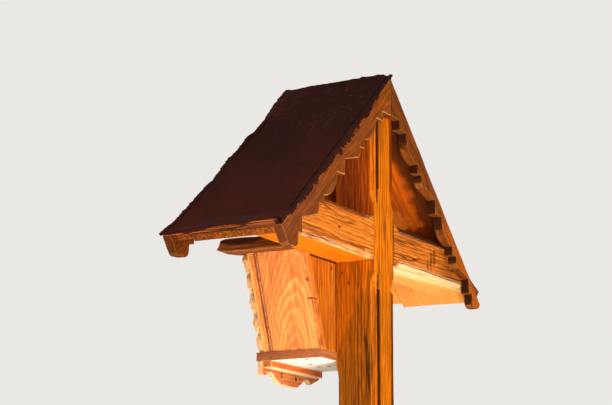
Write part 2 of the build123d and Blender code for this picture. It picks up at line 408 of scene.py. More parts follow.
def make_growth_rings() -> None:
    """Year rings round a heart that leans and wanders along the grain (Z of the vector)."""
    pen = Group(
        "Growth rings",
        {"Vector": ORIGIN, "Heart": (0.0, -0.05, 0.0), "Ring Width": 0.004, "Lean": 0.01,
         "Wander": 0.006, "Skew": 0.0, "Swirl": 0.0, "Seed": 0.0},
        ("Latewood", "Tone"),
    )
    given = pen.given
    vector, seed = given["Vector"], given["Seed"]
    place = pen.vector("SUBTRACT", vector, given["Heart"])
    split = pen.add("SeparateXYZ", Vector=place).outputs
    lengthwise = pen.add("CombineXYZ", Z=split["Z"]).outputs[0]
    drift = pen.add(
        "TexNoise", {"noise_dimensions": "4D"}, Vector=lengthwise, W=seed, Scale=5.0, Detail=2.0
    ).outputs["Color"]
    drift = pen.vector("SCALE", pen.vector("SUBTRACT", drift, (0.5, 0.5, 0.5)), scale=given["Wander"])
    ripple = pen.streaks(vector, across=34.0, along=9.0, detail=4.0, seed=seed)
    ripple = pen.times(pen.minus(ripple, 0.5), pen.times(given["Ring Width"], 2.6))
    shift = pen.add("SeparateXYZ", Vector=drift).outputs
    x = pen.plus(split["X"], shift["X"])
    x = pen.minus(x, pen.times(split["Z"], given["Skew"]))
    y = pen.plus(split["Y"], shift["Y"])
    y = pen.minus(y, pen.times(split["Z"], given["Lean"]))
    radius = pen.math("SQRT", pen.plus(pen.times(x, x), pen.times(y, y)))
    radius = pen.plus(pen.plus(radius, given["Swirl"]), ripple)
    phase = pen.math("DIVIDE", radius, given["Ring Width"])
    share = pen.math("FRACT", phase)
    count = pen.math("FLOOR", phase)
    tone = pen.add("TexWhiteNoise", {"noise_dimensions": "1D"}, W=count).outputs["Value"]
    weight = pen.add("TexWhiteNoise", {"noise_dimensions": "1D"}, W=pen.plus(count, 0.37)).outputs["Value"]
    broken = pen.streaks(vector, across=70.0, along=14.0, detail=3.0, seed=seed)
    late = pen.times(pen.step(share, 0.3, 0.82), pen.step(share, 1.0, 0.9))
    late = pen.times(late, pen.affine(weight, 0.9, 0.4))
    late = pen.times(late, pen.affine(broken, 2.2, 0.0), clamp=True)
    pen.give("Latewood", late)
    pen.give("Tone", tone)


def make_fibres() -> None:
    """Fine and broad streaks that run with the grain."""
    pen = Group("Fibres", {"Vector": ORIGIN, "Seed": 0.0}, ("Fine", "Broad", "Line", "Fleck"))
    given = pen.given
    vector, seed = given["Vector"], given["Seed"]
    pen.give("Fine", pen.streaks(vector, across=900.0, along=22.0, detail=3.0, seed=seed))
    pen.give("Broad", pen.streaks(vector, across=110.0, along=4.0, detail=3.0, seed=seed))
    line = pen.streaks(vector, across=250.0, along=6.0, detail=3.0, seed=pen.plus(seed, 3.0))
    pen.give("Line", pen.step(line, 0.47, 0.34))
    fleck = pen.streaks(vector, across=440.0, along=28.0, detail=3.0, seed=pen.plus(seed, 7.0))
    pen.give("Fleck", pen.step(fleck, 0.36, 0.64))


def make_knot() -> None:
    """A knot that runs along a branch, and how far it pushes the rings aside."""
    pen = Group(
        "Knot",
        {"Vector": ORIGIN, "Centre": ORIGIN, "Branch": (0.0, 1.0, 0.0), "Radius": 0.008},
        ("Core", "Rim", "Swirl"),
    )
    given = pen.given
    offset = pen.vector("SUBTRACT", given["Vector"], given["Centre"])
    inward = pen.vector("DOT_PRODUCT", offset, given["Branch"])
    inward = pen.vector("SCALE", given["Branch"], scale=pen.times(inward, 0.85))
    offset = pen.vector("MULTIPLY", pen.vector("SUBTRACT", offset, inward), (1.0, 1.0, 0.6))
    far = pen.math("DIVIDE", pen.vector("LENGTH", offset), given["Radius"])
    uneven = pen.stretched(offset, waves=(160.0, 160.0, 160.0), detail=2.0, seed=3.0)
    far = pen.plus(far, pen.times(pen.minus(uneven, 0.5), 0.7))
    pen.give("Core", pen.step(far, 1.1, 0.7))
    pen.give("Rim", pen.times(pen.step(far, 0.8, 1.05), pen.step(far, 1.5, 1.1)))
    fall = pen.math("POWER", 2.718, pen.times(far, -0.75))
    pen.give("Swirl", pen.times(pen.times(fall, given["Radius"]), 1.3))


def make_cracks() -> None:
    """Drying cracks, thin and dark, along the grain."""
    pen = Group("Drying cracks", {"Vector": ORIGIN, "Share": 0.5, "Seed": 0.0}, ("Crack",))
    given = pen.given
    vector, seed = given["Vector"], given["Seed"]
    run = pen.streaks(vector, across=64.0, along=2.4, detail=4.0, seed=seed)
    line = pen.math("ABSOLUTE", pen.minus(run, 0.5))
    where = pen.streaks(vector, across=24.0, along=5.0, detail=1.0, seed=pen.plus(seed, 7.0))
    where = pen.step(where, pen.minus(1.0, given["Share"]), pen.minus(1.12, given["Share"]))
    pen.give("Crack", pen.times(pen.step(line, 0.022, 0.005), where))


def make_weather() -> None:
    """Weather stains: wide patches and narrow runs along the grain."""
    pen = Group("Weather stain", {"Vector": ORIGIN, "Cover": 0.4, "Seed": 0.0}, ("Stain", "Run"))
    given = pen.given
    vector, seed = given["Vector"], given["Seed"]
    patch = pen.streaks(vector, across=14.0, along=4.0, detail=4.0, seed=seed)
    run = pen.streaks(vector, across=130.0, along=3.0, detail=3.0, seed=seed)
    low = pen.minus(0.92, given["Cover"])
    both = pen.plus(pen.times(patch, 0.7), pen.times(run, 0.3))
    pen.give("Stain", pen.step(both, pen.minus(low, 0.12), pen.plus(low, 0.1)))
    pen.give("Run", pen.step(run, 0.45, 0.72))


def make_facing() -> None:
    """How far a surface faces a direction of the object's frame."""
    pen = Group("Facing", {"Towards": (0.0, 0.0, -1.0), "From": 0.5, "To": 0.9}, ("Mask",))
    given = pen.given
    normal = pen.add("NewGeometry").outputs["True Normal"]
    turned = pen.vector("DOT_PRODUCT", normal, given["Towards"])
    pen.give("Mask", pen.step(turned, given["From"], given["To"]))


def make_edge_line() -> None:
    """The side of a plane in the object's frame, with a ragged border."""
    pen = Group(
        "Beyond a line",
        {"Vector": ORIGIN, "Towards": (0.0, 0.0, 1.0), "Offset": 0.0, "Ragged": 0.02, "Soft": 0.01},
        ("Mask",),
    )
    given = pen.given
    vector = given["Vector"]
    far = pen.minus(pen.vector("DOT_PRODUCT", vector, given["Towards"]), given["Offset"])
    ragged = pen.noise(vector, scale=30.0, detail=4.0, seed=1.0)
    far = pen.plus(far, pen.times(pen.minus(ragged, 0.5), given["Ragged"]))
    pen.give("Mask", pen.step(far, pen.times(given["Soft"], -1.0), given["Soft"]))


def make_spot() -> None:
    """The inside of a ragged ellipsoid in the object's frame."""
    pen = Group(
        "Spot",
        {"Vector": ORIGIN, "Centre": ORIGIN, "Radii": (0.01, 0.01, 0.01), "Ragged": 0.3},
        ("Mask",),
    )
    given = pen.given
    vector = given["Vector"]
    offset = pen.vector("DIVIDE", pen.vector("SUBTRACT", vector, given["Centre"]), given["Radii"])
    ragged = pen.noise(vector, scale=70.0, detail=4.0, seed=2.0)
    far = pen.plus(pen.vector("LENGTH", offset), pen.times(pen.minus(ragged, 0.5), given["Ragged"]))
    pen.give("Mask", pen.step(far, 1.1, 0.75))


def make_figure() -> None:
    """Fine wavy lines that run square to the grain."""
    pen = Group("Figure", {"Vector": ORIGIN, "Seed": 0.0}, ("Line",))
    given = pen.given
    vector = given["Vector"]
    bend = pen.stretched(vector, waves=(26.0, 26.0, 26.0), detail=2.0, seed=given["Seed"])
    height = pen.add("SeparateXYZ", Vector=vector).outputs["Z"]
    height = pen.affine(bend, 0.012, height)
    wave = pen.math("SINE", pen.times(height, 2 * math.pi / 0.0052))
    patchy = pen.stretched(vector, waves=(60.0, 60.0, 90.0), detail=3.0, seed=3.0)
    pen.give("Line", pen.times(pen.step(wave, 0.0, 0.9), pen.step(patchy, 0.4, 0.6)))


def make_moss() -> None:
    """Moss and grime lying on the sheet."""
    pen = Group("Moss", {"Vector": ORIGIN, "Cover": 0.3}, ("Moss", "Grime", "Lump"))
    given = pen.given
    vector = given["Vector"]
    speck = pen.noise(vector, scale=95.0, detail=5.0, seed=2.0)
    patch = pen.noise(vector, scale=9.0, detail=4.0, seed=5.0)
    cover = pen.times(patch, given["Cover"])
    limit = pen.minus(0.78, cover)
    pen.give("Moss", pen.step(speck, limit, pen.plus(limit, 0.07)))
    pen.give("Grime", pen.step(patch, 0.42, 0.66))
    pen.give("Lump", speck)


@dataclass(frozen=True)
class Grain:
    """How a board lies in the log: grain direction, face direction and middle point."""

    along: Vector
    face: Vector
    middle: Vector

    def mapping(self) -> tuple[Vector, Vector]:
        """Work out how object coordinates turn into board coordinates.

        Returns:
            Rotation and location of the mapping.
        """
        lengthwise = self.along.normalized()
        outward = (self.face - lengthwise * self.face.dot(lengthwise)).normalized()
        turn = Matrix((outward.cross(lengthwise), outward, lengthwise))
        return Vector(turn.to_euler("XYZ")), -(turn @ self.middle)


@dataclass(frozen=True)
class Knot:
    """A knot at a point of the object's frame, with the direction of its branch."""

    place: Vector
    radius: float
    branch: Vector = BACK


@dataclass(frozen=True)
class Patch:
    """A differently coloured part of a board; all the masks that are given count together."""

    colour: Colour
    share: float
    towards: Vector | None = None
    facing: tuple[float, float] = (0.5, 0.9)
    beyond: tuple[Limit, ...] = ()
    around: tuple[Triple, Triple] | None = None
    ragged: float = 0.02
    soft: float = 0.01
    streaked: bool = False
    over: bool = False

    def mask(self, pen: Tree, place: object, board: object, seed: float) -> object:
        """Share of the patch at a point.

        Args:
            pen: Tree to build in.
            place: Socket with object coordinates.
            board: Socket with board coordinates.
            seed: Number of the board.

        Returns:
            The socket or number of the share.
        """
        share: object = self.share
        if self.towards is not None:
            low, high = self.facing
            turned = pen.use("Facing", Towards=self.towards, From=low, To=high)["Mask"]
            share = pen.times(share, turned)
        for limit in self.beyond:
            share = pen.times(share, pen.beyond(place, limit, self.ragged, self.soft))
        if self.around is not None:
            centre, radii = self.around
            spot = pen.use("Spot", Vector=place, Centre=centre, Radii=radii, Ragged=self.ragged * 20)
            share = pen.times(share, spot["Mask"])
        if self.streaked:
            runs = pen.streaks(board, across=210.0, along=7.0, detail=4.0, seed=seed)
            share = pen.times(share, pen.step(runs, 0.3, 0.62))
        return share


def new_material(name: str) -> tuple[bpy.types.Material, Tree, Socket]:
    """Make an empty material.

    Args:
        name: Name of the material.

    Returns:
        The material, the tree to build it in and the socket of its object coordinates.
    """
    made = bpy.data.materials.new(name)
    made.use_nodes = True
    made.node_tree.nodes.clear()
    pen = Tree(made.node_tree)
    return made, pen, pen.add("TexCoord").outputs["Object"]


def shade(pen: Tree, colour: Socket, rough: Socket, height: Socket, relief: float, gloss: float) -> None:
    """End a material in a shader.

    Args:
        pen: Tree of the material.
        colour: Colour of the surface.
        rough: Roughness.
        height: Height of the relief.
        relief: Strength of the relief.
        gloss: Level of the specular light.
    """
    bump = pen.add("Bump", None, Strength=relief, Distance=1.2 * MM, Height=height)
    shader = pen.add("BsdfPrincipled", None, Base_Color=colour, Roughness=rough, Normal=bump.outputs[0])
    shader.inputs["Specular IOR Level"].default_value = gloss
    pen.add("OutputMaterial", None, Surface=shader.outputs[0])


@dataclass(frozen=True)
class Timber:
    """Finish of a timber: its colours, the factors of its lines and how it is worn; on the bargeboards'
    tread edges the pale arrises are also painted highlights.
    """

    name: str
    early: Colour
    tint: Colour
    late: Colour = (0.42, 0.34, 0.26, 1.0)
    fibre: Colour = (0.6, 0.52, 0.42, 1.0)
    stain: Colour = srgb(84, 48, 20)
    pale: Colour = srgb(240, 170, 100)
    knot_core: Colour = srgb(70, 32, 12)
    knot_rim: Colour = srgb(60, 26, 10)
    crack: Colour = srgb(34, 16, 8)
    ring_width: float = 6 * MM
    heart: tuple[float, float] = (0.0, -0.06)
    lean: float = 0.01
    wander: float = 8 * MM
    contrast: float = 0.75
    cover: float = 0.34
    stain_share: float = 0.5
    cracks: float = 0.3
    relief: float = 0.7
    worn: float = 0.5
    lined: float = 0.6
    flecked: float = 0.3
    skew: float = 0.0
    figure: float = 0.0
    figure_above: float = 0.0
    patches: tuple[Patch, ...] = ()
    knots: tuple[Knot, ...] = ()

    def material(self, label: str, grain: Grain, seed: float) -> bpy.types.Material:
        """Build the material of one board.

        Args:
            label: Name of the piece.
            grain: How the board lies in the log.
            seed: Number that makes this board differ from its neighbours.

        Returns:
            The material.
        """
        made, pen, place = new_material(f"{self.name}_{label}")
        rotation, location = grain.mapping()
        board = pen.add("Mapping", None, Vector=place, Rotation=rotation, Location=location).outputs[0]
        turn = Euler(rotation, "XYZ").to_matrix()
        knots = [
            pen.use("Knot", Vector=board, Centre=turn @ knot.place + location,
                    Branch=turn @ knot.branch, Radius=knot.radius)
            for knot in self.knots
        ]
        swirl: object = 0.0
        for knot in knots:
            swirl = pen.plus(swirl, knot["Swirl"])
        rings = pen.use(
            "Growth rings", Vector=board, Heart=(*self.heart, 0.0), Ring_Width=self.ring_width,
            Lean=self.lean, Wander=self.wander, Skew=self.skew, Swirl=swirl, Seed=seed,
        )
        fibres = pen.use("Fibres", Vector=board, Seed=seed)
        weather = pen.use("Weather stain", Vector=board, Cover=self.cover, Seed=seed)
        crack = pen.use("Drying cracks", Vector=board, Share=self.cracks, Seed=seed)["Crack"]
        late = pen.times(rings["Latewood"], self.contrast)
        tinted = pen.times(pen.step(fibres["Broad"], 0.35, 0.75), 0.45)
        colour = pen.mix(tinted, self.early, self.tint)
        for patch in (p for p in self.patches if not p.over):
            colour = pen.mix(patch.mask(pen, place, board, seed), colour, patch.colour)
        stained = pen.times(weather["Stain"], pen.affine(weather["Run"], 0.5, 0.5))
        colour = pen.mix(pen.times(stained, self.stain_share), colour, self.stain)
        colour = pen.mix(late, colour, self.late, "MULTIPLY")
        colour = pen.mix(pen.times(fibres["Line"], self.lined), colour, self.fibre, "MULTIPLY")
        tone = pen.affine(rings["Tone"], 0.3, 0.85)
        tone = pen.times(tone, pen.affine(fibres["Broad"], 0.7, 0.65))
        tone = pen.times(tone, pen.affine(fibres["Fine"], 0.8, 0.6))
        fleck = pen.minus(fibres["Fleck"], 0.5)
        tone = pen.times(tone, pen.affine(fleck, self.flecked, 1.0))
        grey = pen.add("CombineColor", None, Red=tone, Green=tone, Blue=tone).outputs[0]
        colour = pen.mix(1.0, colour, grey, "MULTIPLY")
        height = pen.affine(late, 0.7, pen.times(fibres["Fine"], 0.6))
        height = pen.affine(fibres["Line"], -0.8, height)
        if self.figure:
            line = pen.use("Figure", Vector=board, Seed=seed)["Line"]
            if self.figure_above:
                line = pen.times(line, pen.beyond(place, above(self.figure_above), 0.06, 0.03))
            colour = pen.mix(pen.times(line, self.figure), colour, self.fibre, "MULTIPLY")
            height = pen.affine(line, -self.figure, height)
        # Pale arrises: wear, and on the bargeboards' tread edges also a painted highlight.
        arris = pen.add("Attribute", {"attribute_name": "arris"}).outputs["Fac"]
        chip = pen.noise(place, scale=120.0, detail=4.0, seed=seed)
        chip = pen.step(pen.plus(arris, pen.times(chip, 0.9)), 1.22, 1.42)
        colour = pen.mix(pen.times(chip, self.worn), colour, self.pale)
        for knot in knots:
            colour = pen.mix(pen.times(knot["Core"], 0.8), colour, self.knot_core)
            colour = pen.mix(pen.times(knot["Rim"], 0.55), colour, self.knot_rim)
        colour = pen.mix(pen.times(crack, 0.85), colour, self.crack)
        for patch in (p for p in self.patches if p.over):
            colour = pen.mix(patch.mask(pen, place, board, seed), colour, patch.colour)
        height = pen.minus(height, pen.times(crack, 2.4))
        shade(pen, colour, pen.affine(fibres["Broad"], 0.2, 0.7), height, self.relief, 0.05)
        return made


@dataclass(frozen=True)
class SheetFinish:
    """Finish of the roof sheet: painted, weathered almost black, with moss by the ridge, painted highlights
    on its creases and lower edges and painted shade in its grooves.
    """

    name: str
    paint: Colour = srgb(44, 13, 10)
    worn: Colour = srgb(58, 20, 14)
    low: Colour = srgb(78, 28, 19)
    moss: Colour = srgb(84, 52, 22)
    grime: Colour = srgb(34, 14, 12)
    speck: Colour = srgb(116, 56, 32)
    # Painted highlight on the sheet's creases.
    crease: Colour = srgb(104, 60, 34)
    # Painted highlight on the curled lower edges of the verge bands.
    lip_highlight: Colour = srgb(150, 84, 46)
    # Painted shade in the grooves along the verge.
    groove: Colour = srgb(16, 6, 6)
    grooves: tuple[float, ...] = ()
    cover: float = 0.34
    dust: float = 0.3

    def material(self) -> bpy.types.Material:
        """Build the material.

        Returns:
            The material.
        """
        made, pen, place = new_material(self.name)
        growth = pen.use("Moss", Vector=place, Cover=self.cover)
        ridge = pen.beyond(place, above(1.9), 0.16, 0.08)
        eave = pen.beyond(place, below(1.74), 0.1, 0.12)
        runs = pen.stretched(place, waves=(6.0, 60.0, 6.0), detail=4.0, seed=9.0)
        cloud = pen.noise(place, scale=7.0, detail=3.0, seed=4.0)
        worn = pen.times(pen.step(cloud, 0.42, 0.7), pen.affine(runs, 0.6, 0.3))
        colour = pen.mix(worn, self.paint, self.worn)
        colour = pen.mix(pen.times(eave, pen.affine(runs, 0.6, 0.35)), colour, self.low)
        colour = pen.mix(pen.times(growth["Grime"], 0.4), colour, self.grime)
        dust = pen.noise(place, scale=420.0, detail=3.0, seed=6.0)
        colour = pen.mix(pen.times(pen.step(dust, 0.58, 0.74), self.dust), colour, self.speck)
        mossy = pen.times(growth["Moss"], pen.affine(ridge, 0.85, 0.08))
        colour = pen.mix(pen.times(mossy, 0.6), colour, self.moss)
        # Painted highlights along the creases, mostly by the ridge.
        crease = pen.noise(place, scale=30.0, detail=3.0, seed=8.0)
        crease = pen.step(pen.math("ABSOLUTE", pen.minus(crease, 0.5)), 0.016, 0.003)
        crease = pen.times(crease, pen.affine(ridge, 0.6, 0.06))
        crease = pen.times(crease, pen.step(cloud, 0.44, 0.62))
        colour = pen.mix(crease, colour, self.crease)
        # Painted highlight on the bands' curled lower edges, in bits.
        lip_highlight = pen.add("Attribute", {"attribute_name": "arris"}).outputs["Fac"]
        lip_highlight = pen.times(lip_highlight, pen.step(pen.noise(place, scale=130.0, detail=3.0, seed=2.0), 0.48, 0.6))
        colour = pen.mix(pen.times(lip_highlight, 0.8), colour, self.lip_highlight)
        y = pen.add("SeparateXYZ", Vector=place).outputs["Y"]
        # Painted shade in the grooves along the verge.
        for groove in self.grooves:
            near = pen.affine(runs, 4 * MM, pen.math("ABSOLUTE", pen.minus(y, groove)))
            colour = pen.mix(pen.step(near, 6.5 * MM, 3 * MM), colour, self.groove)
        height = pen.affine(growth["Lump"], 0.5, pen.times(mossy, 0.9))
        height = pen.plus(pen.affine(runs, 0.4, height), pen.times(dust, 0.3))
        shade(pen, colour, pen.affine(cloud, 0.2, 0.68), height, 0.5, 0.03)
        return made


class Piece:
    """A mesh in the making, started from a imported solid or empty."""

    def __init__(self, name: str, node: str | None = None) -> None:
        """Start a piece.

        Args:
            name: Name of the finished object.
            node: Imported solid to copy, or None to start empty.
        """
        self.name = name
        self.node = node
        self.mesh = bmesh.new()
        self.rounded = self.mesh.faces.layers.int.new("rounded")
        self.arris = self.mesh.verts.layers.float.new("arris")
        if node is not None:
            self.mesh.from_mesh(frame["nodes"][node].data)
            bmesh.ops.remove_doubles(self.mesh, verts=self.mesh.verts, dist=TOUCH)
            bmesh.ops.dissolve_limit(
                self.mesh, angle_limit=FLAT_ANGLE, verts=self.mesh.verts, edges=self.mesh.edges
            )

    def soften(self, width: float, margin: float = 0.0) -> "Piece":
        """Round the arrises and note where they are.

        Args:
            width: Width of the bevel.
            margin: Width of the strip that is set off along the arrises; 0 leaves it out.

        Returns:
            The piece itself.
        """
        edges = [
            e for e in self.mesh.edges
            if len(e.link_faces) == 2 and e.calc_face_angle(0.0) > ARRIS_ANGLE
        ]
        bevel = bmesh.ops.bevel(
            self.mesh, geom=edges, offset=width, offset_type="OFFSET", segments=2,
            profile=0.5, affect="EDGES", clamp_overlap=True, material=-1,
        )
        for face in bevel["faces"]:
            face[self.rounded] = 1
        if margin:
            flat = [f for f in self.mesh.faces if not f[self.rounded] and f.calc_area() > LEAST_FACE]
            bmesh.ops.inset_individual(self.mesh, faces=flat, thickness=margin, use_even_offset=True)
        return self

    def mark_arrises(self) -> None:
        """Write the vertices on the rounded arrises to the arris attribute."""
        for face in self.mesh.faces:
            if face[self.rounded]:
                for vert in face.verts:
                    vert[self.arris] = 1.0

    def slice(self, direction: Vector, pitch: float) -> "Piece":
        """Cut the piece across a direction, so that it can be warped.

        Args:
            direction: Direction that the cuts lie square to.
            pitch: Least distance from cut to cut.

        Returns:
            The piece itself.
        """
        direction = direction.normalized()
        spans = [v.co.dot(direction) for v in self.mesh.verts]
        low, high = min(spans), max(spans)
        count = max(1, int((high - low) / pitch))
        for index in range(1, count):
            point = direction * (low + (high - low) * index / count)
            bmesh.ops.bisect_plane(
                self.mesh, geom=self.mesh.verts[:] + self.mesh.edges[:] + self.mesh.faces[:],
                dist=TOUCH, plane_co=point, plane_no=direction,
            )
        return self

    def warp(self, amounts: Vector, size: float, seed: float) -> "Piece":
        """Move the vertices by smooth noise.

        Args:
            amounts: Greatest move along X, Y and Z.
            size: Length of the waves.
            seed: Place in the noise.

        Returns:
            The piece itself.
        """
        shift = Vector((seed * 3.7, seed * 1.9, seed * 5.3))
        for vert in self.mesh.verts:
            push = noise.noise_vector(vert.co / size + shift)
            vert.co += Vector((push.x * amounts.x, push.y * amounts.y, push.z * amounts.z))
        return self

    def lay(
        self, steps: tuple[int, int], place: Callable[[float, float], Vector], out: Vector, lip_highlight: float = 2.0
    ) -> "Piece":
        """Lay a sheet of mesh by a function.

        Args:
            steps: Number of steps along the first and the second parameter.
            place: Point at two parameters from 0 to 1.
            out: Direction that the upper face looks in.
            lip_highlight: Second parameter beyond which the sheet's edge gets its painted highlight.

        Returns:
            The piece itself, one layer thick.
        """
        bmesh.ops.create_grid(self.mesh, x_segments=steps[0], y_segments=steps[1], size=0.5)
        for vert in self.mesh.verts:
            vert[self.arris] = 1.0 if vert.co.y + 0.5 > lip_highlight else 0.0
            vert.co = place(vert.co.x + 0.5, vert.co.y + 0.5)
        self.mesh.normal_update()
        middle = sum((f.normal for f in self.mesh.faces), Vector())
        if middle.dot(out) < 0:
            bmesh.ops.reverse_faces(self.mesh, faces=self.mesh.faces)
        return self

    def thicken(self, thickness: float) -> "Piece":
        """Give a one-layer piece its thickness, away from its upper face.

        Args:
            thickness: Thickness of the sheet.

        Returns:
            The piece itself.
        """
        bmesh.ops.solidify(self.mesh, geom=self.mesh.faces[:], thickness=thickness)
        bmesh.ops.recalc_face_normals(self.mesh, faces=self.mesh.faces)
        return self

    def bend(self, move: Callable[[Vector], Vector]) -> "Piece":
        """Move every vertex.

        Args:
            move: Function from the place of a vertex to its new place.

        Returns:
            The piece itself.
        """
        for vert in self.mesh.verts:
            vert.co = move(vert.co)
        return self

    def done(
        self, slot: Slot, material: bpy.types.Material, stands_for: Sequence[str] = (), crease: float = 28.0
    ) -> bpy.types.Object:
        """Turn the piece into an object that rides on the frame.

        Args:
            slot: Material slot of the piece; not used.
            material: Material of the whole piece.
            stands_for: Nodes that the piece replaces, besides the one it was copied from.
            crease: Angle above which shading breaks at an edge, in degrees.

        Returns:
            The finished object.
        """
        self.mark_arrises()
        bmesh.ops.triangulate(self.mesh, faces=[f for f in self.mesh.faces if len(f.verts) > 4])
        data = bpy.data.meshes.new(self.name)
        self.mesh.to_mesh(data)
        self.mesh.free()
        data.polygons.foreach_set("use_smooth", [True] * len(data.polygons))
        data.set_sharp_from_angle(angle=math.radians(crease))
        data.materials.append(material)
        made = bpy.data.objects.new(self.name, data)
        bpy.context.scene.collection.objects.link(made)
        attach(made, "root")
        nodes = ([self.node] if self.node else []) + list(stands_for)
        if nodes:
            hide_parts(*nodes)
        LOG.info("%s: %d faces", self.name, len(data.polygons))
        return made


def table(points: Sequence[tuple[float, float]], at: float) -> float:
    """Value read off a table of places and values, with straight lines between them.

    Args:
        points: Places in rising order with their values.
        at: Place to read.

    Returns:
        The value there; beyond the ends that of the nearest place.
    """
    if at <= points[0][0]:
        return points[0][1]
    for (low, first), (high, last) in zip(points, points[1:]):
        if at <= high:
            return first + (last - first) * (at - low) / (high - low)
    return points[-1][1]


def node_middle(node: str) -> Vector:
    """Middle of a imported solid's box."""
    low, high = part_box(node)
    return (low + high) / 2


def down_slope(side: Side) -> Vector:
    """Direction down the roof on that side."""
    return Vector((side.value * math.cos(SLOPE), 0.0, -math.sin(SLOPE)))


def off_slope(side: Side) -> Vector:
    """Direction square to the roof on that side, upwards."""
    return Vector((side.value * math.sin(SLOPE), 0.0, math.cos(SLOPE)))


def past(side: Side, run: float) -> Limit:
    """Limit to what lies further down the slope on that side than a run."""
    return down_slope(side), down_slope(side).z * RIDGE + run


def over(side: Side, lift: float) -> Limit:
    """Limit to what lies higher than a lift square to the slope on that side."""
    return off_slope(side), off_slope(side).z * RIDGE + lift


